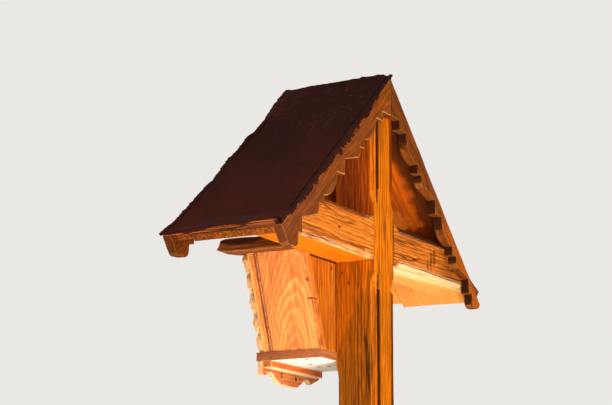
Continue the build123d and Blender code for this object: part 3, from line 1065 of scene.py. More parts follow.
@dataclass
class PostAndBeam:
    """The post and the crossbeam that is halved into it."""

    bevel: float = 1.3 * MM
    margin: float = 5 * MM
    pitch: float = 20 * MM
    joint_gap: float = 1.2 * MM
    post: Timber = Timber(
        "Post timber", early=srgb(217, 114, 1), tint=srgb(194, 91, 1), stain=srgb(116, 58, 8),
        pale=srgb(226, 140, 40), heart=(0.1, -0.06), ring_width=6.2 * MM, lean=0.003, contrast=0.5,
        stain_share=0.45, flecked=0.6, cracks=0.4, worn=0.2,
        patches=(
            Patch(srgb(184, 96, 2), 0.6, towards=BACK, beyond=(below(1.57),), ragged=0.1, soft=0.08),
            # Painted shade on the post's side faces.
            *(Patch(srgb(166, 82, 3), 0.9, towards=side) for side in (LEFT, RIGHT)),
            # Painted shadow of the box on the post's left face, below the box's raking edge.
            *(
                Patch(colour, share, towards=LEFT, ragged=0.05, soft=8 * MM, streaked=streaked,
                      beyond=((Vector((0, 0.89, -0.456)), -0.685), below(1.6)))
                for colour, share, streaked in (
                    (srgb(120, 62, 6), 0.9, True), (srgb(140, 74, 6), 0.6, False)
                )
            ),
            # Painted shade on the post's left face above the beam, deeper towards the front.
            Patch(srgb(176, 74, 8), 0.85, towards=LEFT, beyond=(above(1.695),), ragged=10 * MM),
            Patch(srgb(150, 58, 14), 0.85, towards=LEFT, soft=4 * MM,
                  beyond=(below(1.83), above(1.69), (Vector((0.2, -1, 0)), 0.021))),
            Patch(srgb(112, 42, 6), 0.75, beyond=(below(1.76), above(1.69), left_of(0.043)), soft=0.02),
            Patch(srgb(112, 44, 6), 0.7, beyond=(above(1.76), left_of(0.043)), soft=0.02),
            # Painted shade on the post's chamfers; below 1.53 m they are darker, in streaks.
            Patch(srgb(206, 100, 5), 0.85, **POST_CHAMFER),
            Patch(srgb(112, 56, 8), 0.75, **POST_CHAMFER, beyond=(below(1.53),), streaked=True),
            # Painted shade in the quirks beside the chamfers, above and below the beam.
            *(
                Patch(srgb(34, 14, 3), 0.85, ragged=1.5 * MM, soft=0.8 * MM, over=True,
                      beyond=(left_of(0.0298), right_of(0.0362), behind(0.03), clear_of_beam))
                for clear_of_beam in (above(1.722), below(1.57))
            ),
            Patch(srgb(60, 24, 3), 0.8, around=((0.045, 0.0044, 1.05), (0.003, 0.0013, 0.56)),
                  ragged=0.0, over=True),
        ),
        knots=(
            Knot(Vector((0.045, -0.0152, 1.5548)), 0.0022, LEFT),
            Knot(Vector((0.045, -0.0314, 1.5771)), 0.0018, LEFT),
        ),
    )
    beam: Timber = Timber(
        "Beam timber", early=srgb(228, 127, 38), tint=srgb(204, 100, 24), stain=srgb(150, 76, 24),
        late=(0.26, 0.2, 0.14, 1.0), pale=srgb(240, 176, 116), heart=(0.1, -0.02), ring_width=6.6 * MM,
        lean=0.006, wander=14 * MM, contrast=0.55, cover=0.08, stain_share=0.35, cracks=0.55, relief=0.9,
        worn=0.25, lined=0.7, flecked=0.45,
        patches=(
            # Painted light from below on the beam's undersides: orange on the left arm, cream with pale
            # streaks on the right arm.
            Patch(srgb(244, 124, 3), 0.84, **LIT_UNDERSIDE, beyond=(left_of(0.0), below(1.615)), ragged=0.0),
            Patch(srgb(255, 220, 132), 0.86, **LIT_UNDERSIDE, beyond=(right_of(0.0), below(1.615)), ragged=0.0),
            Patch(srgb(246, 166, 66), 0.75, **LIT_UNDERSIDE, ragged=0.03,
                  beyond=(right_of(0.0), below(1.63), (Vector((-0.16, -1, 0)), 0.03))),
            Patch(srgb(255, 240, 196), 0.8, **LIT_UNDERSIDE, ragged=0.06, streaked=True,
                  beyond=(right_of(0.0), below(1.65), (Vector((0.1, 1, 0)), 0.0))),
            # Painted light from below on the lower chamfers, paler low down and on the right arm; painted
            # shade on the upper chamfers and along the right arm's top rear edge.
            Patch(srgb(200, 110, 50), 0.6, **LOWER_CHAMFER),
            Patch(srgb(250, 190, 136), 0.75, **LOWER_CHAMFER, beyond=(below(1.64),), streaked=True),
            Patch(srgb(110, 54, 18), 0.75, **UPPER_CHAMFER, streaked=True),
            Patch(srgb(60, 26, 8), 0.8, beyond=(right_of(-0.07), above(1.677), behind(0.03)),
                  ragged=3 * MM, soft=1 * MM, over=True),
            Patch(srgb(255, 214, 150), 0.6, **LOWER_CHAMFER, beyond=(right_of(-0.07),), ragged=0.1,
                  over=True),
            # Painted shade in the opened joint beside the post.
            *(
                Patch(srgb(22, 9, 3), 0.92, beyond=(*joint, behind(0.02)), ragged=1 * MM, soft=1.2 * MM,
                      over=True)
                for joint in ((right_of(0.0488), left_of(0.0)), (left_of(-0.0488), right_of(0.0)))
            ),
            Patch(srgb(138, 70, 12), 0.65, towards=BACK, beyond=(right_of(-0.29),), ragged=0.1, soft=0.04),
            Patch(srgb(200, 112, 50), 0.5, towards=BACK, beyond=(left_of(0.3),), ragged=0.1, soft=0.03),
            Patch(srgb(92, 42, 8), 0.7, around=((-0.2585, 0.045, 1.650), (0.008, 0.02, 0.018)), ragged=0.09),
            Patch(srgb(92, 42, 8), 0.7, around=((-0.240, 0.045, 1.640), (0.006, 0.02, 0.020)), ragged=0.1),
            Patch(srgb(104, 48, 8), 0.6, around=((-0.223, 0.045, 1.628), (0.005, 0.02, 0.014)), ragged=0.1),
        ),
        knots=(Knot(Vector((0.209, 0.045, 1.640)), 0.0032),),
    )

    def open_joint(self, place: Vector) -> Vector:
        """Draw the beam's rear shoulders back from the post by the joint's gap.

        Args:
            place: A point of the beam.

        Returns:
            Its new place.
        """
        if place.y > 3 * MM and POST_HALF - 2 * MM < abs(place.x) < POST_HALF + 3 * MM:
            return place + Vector((math.copysign(self.joint_gap, place.x), 0, 0))
        return place

    def build(self) -> None:
        """Build both timbers."""
        post = Piece("post_timber", "post").soften(self.bevel, margin=self.margin).slice(UP, self.pitch)
        post.warp(Vector((0.5, 0.5, 0.2)) * MM, size=0.12, seed=1.0)
        post.done(Slot.POST, self.post.material("post", Grain(UP, BACK, node_middle("post")), 1.3))
        beam = Piece("beam_timber", "crossbeam").soften(self.bevel, margin=self.margin)
        beam.slice(LEFT, self.pitch).bend(self.open_joint)
        beam.warp(Vector((0.3, 0.6, 0.7)) * MM, size=0.05, seed=2.0)
        beam.done(Slot.BEAM, self.beam.material("beam", Grain(LEFT, BACK, node_middle("crossbeam")), 4.1))


@dataclass
class Slopes:
    """Measures of the roof planes and of the worn verge and eave, shared by the roof's pieces."""

    tilt_run: float = 55 * MM
    full_rise: float = 15.5 * MM  # rise of the wedges' solids
    ridge_run: float = 16 * MM
    rise: Curve = (  # place along the ridge, lift of the sheet at the eave
        (-0.205, 0.0025), (-0.196, 0.0026), (-0.147, 0.0062), (-0.116, 0.0092), (-0.024, 0.0112),
        (0.045, 0.0146), (0.067, 0.0152),
    )
    front: Curve = (  # run down the slope, place of the sheet's front edge
        (0.0, -0.188), (0.074, -0.187), (0.144, -0.179), (0.207, -0.178), (0.216, -0.187),
        (0.291, -0.184), (0.318, -0.189), (0.362, -0.1865), (0.417, -0.183), (0.446, -0.188),
        (0.519, -0.191), (0.587, -0.194), (0.611, -0.2), (0.636, -0.201),
    )
    board_shift: Curve = (  # run down the slope, lean of the front bargeboards
        (0.0, 0.007), (0.35, 0.008), (0.5, 0.004), (0.587, 0.001), (0.66, -0.0065),
    )
    ridge: Curve = (  # place along the ridge, lift of the sheet there
        (-0.189, -0.001), (-0.169, -0.0015), (-0.125, 0.002), (-0.081, 0.0022), (-0.066, 0.0025),
        (-0.046, 0.0039), (-0.032, 0.0028), (-0.030, 0.0056), (-0.010, 0.0036), (-0.007, 0.0098),
        (-0.004, 0.0066), (0.009, 0.0054), (0.028, 0.0061), (0.047, 0.0059), (0.050, 0.002),
        (0.057, 0.0012), (0.060, 0.0026), (0.067, 0.0016),
    )

    @property
    def length(self) -> float:
        """Length of the slope from the ridge to the eave."""
        return HALF_SPAN / math.cos(SLOPE)

    def base(self, side: Side, run: float, y: float, lift: float) -> Vector:
        """Point over the flat slope.

        Args:
            side: Slope that the point is on.
            run: Distance down the slope from the ridge.
            y: Place along the ridge.
            lift: Height square to the slope, above the sheet's upper face.

        Returns:
            The point.
        """
        return Vector((0.0, y, RIDGE)) + down_slope(side) * run + off_slope(side) * lift

    def point(self, side: Side, run: float, y: float, lift: float) -> Vector:
        """Point over the slope as it is covered: tilted at the eave and raised at the ridge.

        Args:
            side: Slope that the point is on.
            run: Distance down the slope from the ridge.
            y: Place along the ridge.
            lift: Height square to the slope, above the sheet's upper face.

        Returns:
            The point.
        """
        share = min(1.0, max(0.0, (run - self.length + self.tilt_run) / self.tilt_run)) ** 1.2
        ridge = table(self.ridge, y) * math.exp(-((run / self.ridge_run) ** 2))
        return self.base(side, run, y, lift + share * table(self.rise, y)) + Vector((0, 0, ridge))

    def measure(self, side: Side, place: Vector) -> tuple[float, float]:
        """Measure where a point lies on a slope.

        Args:
            side: The slope.
            place: The point.

        Returns:
            Distance down the slope from the ridge and height square to it.
        """
        offset = place - Vector((0.0, 0.0, RIDGE))
        offset.y = 0.0
        return offset.dot(down_slope(side)), offset.dot(off_slope(side))


@dataclass
class RoofBoards:
    """Boards of both slopes and the wedges that tilt the sheets at the eaves."""

    slopes: Slopes = field(default_factory=Slopes)
    bevel: float = 1.2 * MM
    margin: float = 5 * MM
    pitch: float = 25 * MM
    wedge_pitch: float = 7 * MM
    seat: float = 2.5 * MM  # depth of the wedges' foot below the sheet's upper face
    gap: float = 0.2 * MM
    board: Timber = Timber(
        "Roof board", early=srgb(176, 82, 8), tint=srgb(146, 62, 6), stain=srgb(76, 30, 5),
        pale=srgb(220, 130, 56), heart=(0.02, -0.09), ring_width=9 * MM, lean=0.02, wander=20 * MM,
        contrast=0.22, cover=0.55, stain_share=0.65, lined=0.35, worn=0.3, relief=0.8,
    )
    wedge: Timber = Timber(
        "Eave wedge", early=srgb(170, 90, 46), tint=srgb(128, 62, 30), pale=srgb(200, 120, 70),
        heart=(0.0, -0.05), ring_width=4 * MM, cover=0.4, cracks=0.6, worn=0.4, lined=0.9,
    )

    def patches(self, side: Side) -> tuple[Patch, ...]:
        """Choose the patches of the boards of a slope: end grain at the eave, painted shade under the
        sheet's edge and painted light and shade on the underside.

        Args:
            side: The slope; the right one shows its underside.

        Returns:
            The patches.
        """
        under = {"towards": -off_slope(side)}
        end = {"towards": down_slope(side), "facing": (0.7, 0.95)}
        shared = (
            Patch(srgb(222, 114, 34), 0.9, **end),
            Patch(srgb(226, 136, 30), 0.7, **end,
                  around=((side.value * 0.49, -0.05, 1.585), (0.05, 0.03, 0.012))),
            Patch(srgb(84, 42, 24), 0.8, **end, streaked=True),
            # Painted shade on the board ends just under the sheet's edge.
            Patch(srgb(40, 18, 8), 0.85, towards=down_slope(side), beyond=(over(side, -5.2 * MM),),
                  ragged=3 * MM, soft=1.5 * MM, over=True),
        )
        if side is Side.LEFT:
            # Painted light from below on the left slope's underside by the eave.
            return shared + (Patch(srgb(250, 160, 14), 0.8, **under, beyond=(below(1.66),), over=True),)
        return shared + (
            # The right slope's underside, seen in the gable: painted shade by the ridge and towards the
            # rear, painted light on an orange field and a salmon pool by the post, a painted shadow of the
            # beam and painted light from below by the eave, in streaks.
            Patch(srgb(104, 44, 5), 0.85, **under, beyond=(left_of(-0.36),), ragged=0.06, soft=0.02),
            Patch(srgb(76, 30, 4), 0.75, **under, beyond=(behind(0.003), left_of(-0.36)), ragged=0.03,
                  soft=6 * MM),
            Patch(srgb(236, 106, 6), 0.85, **under, ragged=0.06, soft=12 * MM,
                  beyond=(before(0.0), behind(-0.1), right_of(-0.15), left_of(-0.3))),
            Patch(srgb(86, 32, 6), 0.7, **under, around=((-0.318, -0.004, 1.713), (0.024, 0.05, 0.03)),
                  ragged=0.08),
            Patch(srgb(255, 134, 42), 0.85, **under, around=((-0.281, -0.051, 1.746), (0.036, 0.026, 0.03)),
                  ragged=0.08),
            Patch(srgb(250, 170, 74), 0.84, **under, beyond=(below(1.655),), ragged=10 * MM, over=True),
            Patch(srgb(226, 128, 62), 0.6, **under, beyond=(below(1.655), right_of(-0.4)), ragged=0.05,
                  soft=0.03, streaked=True, over=True),
            Patch(srgb(150, 78, 24), 0.65, around=((-0.4, 0.02, 1.66), (0.012, 0.03, 0.02))),
        )

    def press(self, side: Side) -> Callable[[Vector], Vector]:
        """Make the function that presses a wedge down to the height that the sheet keeps over it.

        Args:
            side: Slope that the wedge lies on.

        Returns:
            Function from a point of the wedge to its new place.
        """
        def move(place: Vector) -> Vector:
            """Press one point of the wedge.

            Args:
                place: The point.

            Returns:
                Its new place.
            """
            run, lift = self.slopes.measure(side, place)
            base = self.slopes.base(side, run, place.y, -self.seat)
            height = (lift + self.seat) * table(self.slopes.rise, place.y) / self.slopes.full_rise
            return base + off_slope(side) * (height - self.gap)

        return move

    def build(self) -> None:
        """Build the boards and wedges of both sides."""
        for index, side in enumerate(Side):
            finish = replace(self.board, patches=self.patches(side))
            for row, gable in enumerate(Gable):
                node = f"roof_board_{side.word}_{gable.word}"
                piece = Piece(f"board_{side.word}_{gable.word}", node)
                piece.soften(self.bevel, margin=self.margin)
                piece.slice(down_slope(side), self.pitch).slice(BACK, self.pitch)
                piece.warp(Vector((0.6, 0.5, 0.6)) * MM, size=0.045, seed=3.0 + index + row)
                grain = Grain(down_slope(side), off_slope(side), node_middle(node))
                piece.done(Slot.ROOF, finish.material(piece.name, grain, 5.0 + 2 * index + row))
            node = f"eave_strip_{side.word}"
            piece = Piece(f"eave_wedge_{side.word}", node).slice(BACK, self.wedge_pitch)
            piece.bend(self.press(side)).warp(Vector((1.0, 0.6, 0.6)) * MM, size=0.02, seed=9.0 + index)
            grain = Grain(BACK, off_slope(side), node_middle(node))
            piece.done(Slot.ROOF, self.wedge.material(piece.name, grain, 8.0 + index))


@dataclass
class Bargeboards:
    """The four scalloped boards at the gables."""

    slopes: Slopes = field(default_factory=Slopes)
    bevel: float = 1.2 * MM
    margin: float = 2 * MM
    pitch: float = 8 * MM
    # Its pale arrises are wear and, on the rear left board's tread edges, also painted highlights.
    timber: Timber = Timber(
        "Bargeboard", early=srgb(148, 75, 18), tint=srgb(122, 60, 13), stain=srgb(96, 46, 14),
        pale=srgb(222, 146, 76), heart=(0.0, -0.04), ring_width=7 * MM, lean=0.02, contrast=0.12,
        cover=0.42, cracks=0.25, relief=0.9, worn=0.7, lined=0.35, flecked=0.5,
    )

    def patches(self, side: Side, gable: Gable) -> tuple[Patch, ...]:
        """Choose the patches of one board: painted shade on the risers, worn faces, painted light on the
        treads and painted shade in the joint at the ridge.

        Args:
            side: Slope that the board runs along.
            gable: Gable that it closes.

        Returns:
            The patches.
        """
        inward = Vector((-side.value, 0, 0))
        shared = (
            # Painted shade on the risers, which face the post.
            Patch(srgb(80, 38, 10), 0.7, towards=inward, facing=(0.8, 0.97)),
            Patch(srgb(112, 56, 22), 0.85, towards=down_slope(side), facing=(0.7, 0.95)),
            # Painted shade in the joint at the ridge.
            Patch(srgb(20, 8, 3), 0.9, beyond=((inward, -1.6 * MM),), ragged=1 * MM, soft=0.8 * MM,
                  over=True),
        )
        if gable is Gable.FRONT:
            return shared + (Patch(srgb(96, 46, 8), 0.75, beyond=(below(1.66),)),)
        if side is Side.RIGHT:
            steps = {"towards": DOWN, "facing": (0.3, 0.8)}
            return shared + (
                Patch(srgb(210, 104, 12), 0.6, towards=BACK, beyond=(below(1.76),), ragged=0.1, soft=0.04),
                Patch(srgb(128, 62, 10), 0.8, towards=BACK, beyond=(above(1.76),), ragged=0.1, soft=0.04),
                # Painted light from below on the treads' undersides, with darker streaks.
                Patch(srgb(150, 78, 22), 0.7, **steps),
                Patch(srgb(92, 42, 10), 0.6, **steps, streaked=True),
                # Deeper painted shade on the risers of the rear right board.
                Patch(srgb(42, 16, 4), 0.88, towards=inward, facing=(0.75, 0.95), over=True),
            )
        return shared + (
            Patch(srgb(158, 80, 6), 0.7, towards=BACK, beyond=(above(1.9),), ragged=0.05, soft=0.03),
            Patch(srgb(124, 62, 30), 0.65, towards=BACK, beyond=(below(1.70),), ragged=0.1, soft=0.04),
            Patch(srgb(130, 64, 20), 0.6, towards=DOWN, streaked=True),
            Patch(srgb(112, 56, 26), 0.75, beyond=(past(side, self.slopes.length - 8 * MM),),
                  ragged=4 * MM, soft=2 * MM, over=True),
        )

    def finish(self, side: Side, gable: Gable) -> Timber:
        """Choose the finish of one board.

        Args:
            side: Slope that the board runs along.
            gable: Gable that it closes.

        Returns:
            The finish.
        """
        finish = replace(self.timber, patches=self.patches(side, gable))
        if gable is Gable.FRONT:
            return replace(finish, worn=0.08)
        if side is Side.RIGHT:
            return replace(finish, worn=0.12, contrast=0.5)
        return replace(finish, cover=0.56, stain_share=0.65, flecked=0.65)

    def lean_out(self, side: Side) -> Callable[[Vector], Vector]:
        """Make the function that lets a front board lean out towards its lower end.

        Args:
            side: Slope that the board runs along.

        Returns:
            Function from a point of the board to its new place.
        """
        def move(place: Vector) -> Vector:
            """New place of a point of the board."""
            run, _ = self.slopes.measure(side, place)
            return place + Vector((0, table(self.slopes.board_shift, run), 0))

        return move

    def build(self) -> None:
        """Build the boards of both gables."""
        for index, side in enumerate(Side):
            for row, gable in enumerate(Gable):
                node = f"{gable.word}_bargeboard_{side.word}"
                piece = Piece(f"{gable.word}_barge_{side.word}", node).soften(self.bevel, margin=self.margin)
                piece.slice(LEFT, self.pitch).slice(UP, self.pitch)
                if gable is Gable.FRONT:
                    piece.bend(self.lean_out(side))
                piece.warp(Vector((0.9, 0.35, 0.9)) * MM, size=0.012, seed=11.0 + 2 * index + row)
                piece.warp(Vector((0.8, 0.8, 0.8)) * MM, size=0.09, seed=15.0 + 2 * index + row)
                grain = Grain(down_slope(side), BACK * gable.value, node_middle(node))
                material = self.finish(side, gable).material(piece.name, grain, 12.0 + 3 * index + row)
                piece.done(Slot.BARGE, material)


@dataclass
class Covering:
    """Thin sheets on both slopes with their verge bands."""

    slopes: Slopes = field(default_factory=Slopes)
    thickness: float = 1.8 * MM
    band_thickness: float = 1.2 * MM
    fold: float = 12 * MM
    sink: float = 0.4 * MM
    rear: float = 0.067
    bare_rear: float = 0.050
    groove: float = 10 * MM
    band_width: float = 8 * MM
    on_slope: float = 0.4  # share of a band's steps that lie on the slope
    sheet_steps: tuple[int, int] = (150, 64)
    band_steps: tuple[int, int] = (420, 12)
    hang: Curve = (  # place along the ridge, depth of the sheet's fold at the eave
        (-0.205, 0.003), (-0.17, 0.004), (-0.147, 0.007), (-0.13, 0.011), (-0.104, 0.010),
        (-0.09, 0.0025), (0.067, 0.002),
    )
    drops: Curve = (  # run down the slope, drop of the verge's lobes
        (0.0, 0.0012), (0.088, 0.0008), (0.092, 0.0058), (0.097, 0.0064), (0.108, 0.0046), (0.122, 0.0052),
        (0.137, 0.0068), (0.151, 0.009), (0.163, 0.0122), (0.176, 0.0112), (0.189, 0.0084),
        (0.2055, 0.0024), (0.211, 0.0070), (0.219, 0.0096), (0.226, 0.0114), (0.233, 0.0046),
        (0.246, 0.0068), (0.258, 0.0104), (0.279, 0.0118), (0.296, 0.0116), (0.313, 0.0090),
        (0.3215, 0.0052), (0.327, 0.0128), (0.334, 0.0146), (0.341, 0.0118), (0.352, 0.0044),
        (0.366, 0.0086), (0.398, 0.0094), (0.420, 0.0084), (0.442, 0.0032), (0.449, 0.0060),
        (0.464, 0.0092), (0.477, 0.0036), (0.490, 0.0088), (0.504, 0.0100), (0.525, 0.0092),
        (0.544, 0.0056), (0.564, 0.0004), (0.570, 0.0052), (0.590, 0.0062), (0.601, 0.0002),
        (0.622, 0.0002), (0.641, -0.0016),
    )
    sheet: SheetFinish = SheetFinish("Roof sheet")
    # The left sheet gets a groove line of painted shade near its rear verge.
    edged: SheetFinish = SheetFinish("Roof sheet with grooves", grooves=(0.0568,))
    band: SheetFinish = SheetFinish(
        "Verge sheet", paint=srgb(42, 15, 9), worn=srgb(64, 28, 16), low=srgb(60, 26, 18), cover=0.15,
        dust=0.75,
    )

    def front_edge(self, run: float) -> float:
        """Find the torn front edge.

        Args:
            run: Distance down the slope.

        Returns:
            Place of the edge along the ridge.
        """
        torn = noise.noise(Vector((run * 95, 3.0, 1.0))) * 3.4 * MM
        torn += noise.noise(Vector((run * 290, 5.0, 1.0))) * 2.4 * MM
        return table(self.slopes.front, run) + torn

    def across(self, rear: float, run: float, v: float) -> float:
        """Share out the sheet's width, more closely at the verges.

        Args:
            rear: Place of the rear edge.
            run: Distance down the slope.
            v: Share of the width, counted from the rear.

        Returns:
            Place along the ridge.
        """
        eased = v - 0.0765 * math.sin(4 * math.pi * v)
        return rear + (self.front_edge(run) - rear) * min(1.0, max(0.0, eased))

    def build_sheet(self, side: Side, rear: float, finish: SheetFinish) -> None:
        """Build the sheet of one slope.

        Args:
            side: Slope that the sheet lies on.
            rear: Place of its rear edge.
            finish: Finish of the sheet.
        """
        length = self.slopes.length

        def place(u: float, v: float) -> Vector:
            """Lay one point of the sheet.

            Args:
                u: Share of the way down the slope and round the eave.
                v: Share of the way from rear to front.

            Returns:
                The point.
            """
            run = u * (length + self.fold)
            y = self.across(rear, min(run, length), v)
            wave = noise.noise(Vector((run * 8, y * 8, side.value * 3.0))) * 1.7 * MM
            wave += noise.noise(Vector((run * 45, y * 45, side.value * 5.0))) * 0.5 * MM
            wave += noise.noise(Vector((run * 9, y * 130, 8.0))) * 3.6 * MM * math.exp(-run / (7 * MM))
            dip = math.exp(-(((y - rear + self.groove) / (1.8 * MM)) ** 2)) * 1.8 * MM
            if run <= length:
                return self.slopes.point(side, run, y, wave - self.sink - dip)
            torn = 0.75 + 0.6 * noise.noise(Vector((y * 60, 1.0, side.value)))
            tip = self.slopes.point(side, length, y, wave - self.sink)
            hang = (run - length) / self.fold * table(self.hang, y) * torn
            return tip + down_slope(side) * 1.5 * MM - off_slope(side) * hang

        piece = Piece(f"sheet_{side.word}").lay(self.sheet_steps, place, off_slope(side))
        piece.thicken(self.thickness)
        piece.done(Slot.SHEET, finish.material(), stands_for=[f"covering_{side.word}"], crease=40)

    def build_band(self, side: Side, gable: Gable) -> None:
        """Build a verge band: the sheet's rolled edge that hangs over the gable in lobes.

        Args:
            side: Slope that the band runs down.
            gable: Gable that it hangs over.
        """
        length, outward = self.slopes.length, gable.value

        def rolled(run: float, edge: float, share: float, wave: float) -> Vector:
            """Lay one point of the roll on the slope.

            Args:
                run: Distance down the slope.
                edge: Place of the sheet's edge along the ridge.
                share: Share of the way from the roll's inner side to the edge.
                wave: Height of the ripple.

            Returns:
                The point.
            """
            y = edge - outward * (self.band_width * (1 - share) - 0.2 * MM)
            rise = 1.6 * MM * math.sin(math.pi * (0.15 + 0.6 * share))
            return self.slopes.point(side, run, y, wave + rise)

        def hung(run: float, edge: float, share: float, wave: float) -> Vector:
            """Lay one point of the lobes.

            Args:
                run: Distance down the slope.
                edge: Place of the sheet's edge along the ridge.
                share: Share of the way from the edge down to the tips.
                wave: Height of the ripple.

            Returns:
                The point.
            """
            drop = table(self.drops, run)
            tooth = noise.noise(Vector((run * 150, 2.0, 7.0))) * (1.2 + 170 * drop) * MM
            tooth += noise.noise(Vector((run * 420, 2.0, 7.0))) * (1.0 + 90 * drop) * MM
            low = self.slopes.base(side, run, edge, -drop - tooth)
            curl = max(0.0, drop - 4 * MM) * share**2 * 0.35
            flare = noise.noise(Vector((run * 110, share * 2, 3.0))) * (0.8 * MM + 0.16 * drop) * share
            point = self.slopes.point(side, run, edge, 1.5 * MM + wave).lerp(low, share)
            point.y = edge + outward * (0.9 * MM + curl + flare)
            return point

        def place(u: float, v: float) -> Vector:
            """Lay one point of the band.

            Args:
                u: Share of the way down the slope.
                v: Share of the way over the edge and down.

            Returns:
                The point.
            """
            run = u * length
            edge = self.rear if gable is Gable.REAR else self.front_edge(run)
            wave = noise.noise(Vector((run * 40, 4.0 * outward, side.value * 2.0))) * 0.7 * MM
            if v < self.on_slope:
                return rolled(run, edge, v / self.on_slope, wave)
            return hung(run, edge, (v - self.on_slope) / (1 - self.on_slope), wave)

        piece = Piece(f"verge_band_{side.word}_{gable.word}")
        piece.lay(self.band_steps, place, off_slope(side), lip_highlight=0.87).thicken(self.band_thickness)
        replaced = [f"verge_hem_{side.word}_{gable.word}"]
        piece.done(Slot.SHEET, self.band.material(), stands_for=replaced, crease=40)

    def build(self) -> None:
        """Build the sheets and their bands."""
        self.build_sheet(Side.LEFT, self.rear, self.edged)
        self.build_sheet(Side.RIGHT, self.bare_rear, self.sheet)
        for side, gable in ((Side.LEFT, Gable.REAR), (Side.LEFT, Gable.FRONT), (Side.RIGHT, Gable.FRONT)):
            self.build_band(side, gable)


@dataclass(frozen=True)
class Cut:
    """How finely a board is cut up and how uneven it is.

    The fields are the distance of the cross cuts, the greatest unevenness in millimetres, its wave
    length and the width of the strip set off along the arrises.
    """

    pitch: float = 12 * MM
    rough: float = 0.5
    wave: float = 0.03
    margin: float = 4 * MM


def shaded_holes(colour: Colour, share: float, places: Sequence[Triple], radii: Triple) -> tuple[Patch, ...]:
    """Paint shade into the holes of a board.

    Args:
        colour: Colour of the painted shade in the holes.
        share: Share of that colour.
        places: Middles of the holes.
        radii: Half sizes of each hole.

    Returns:
        One patch for each hole.
    """
    return tuple(Patch(colour, share, around=(place, radii), ragged=0.0, over=True) for place in places)


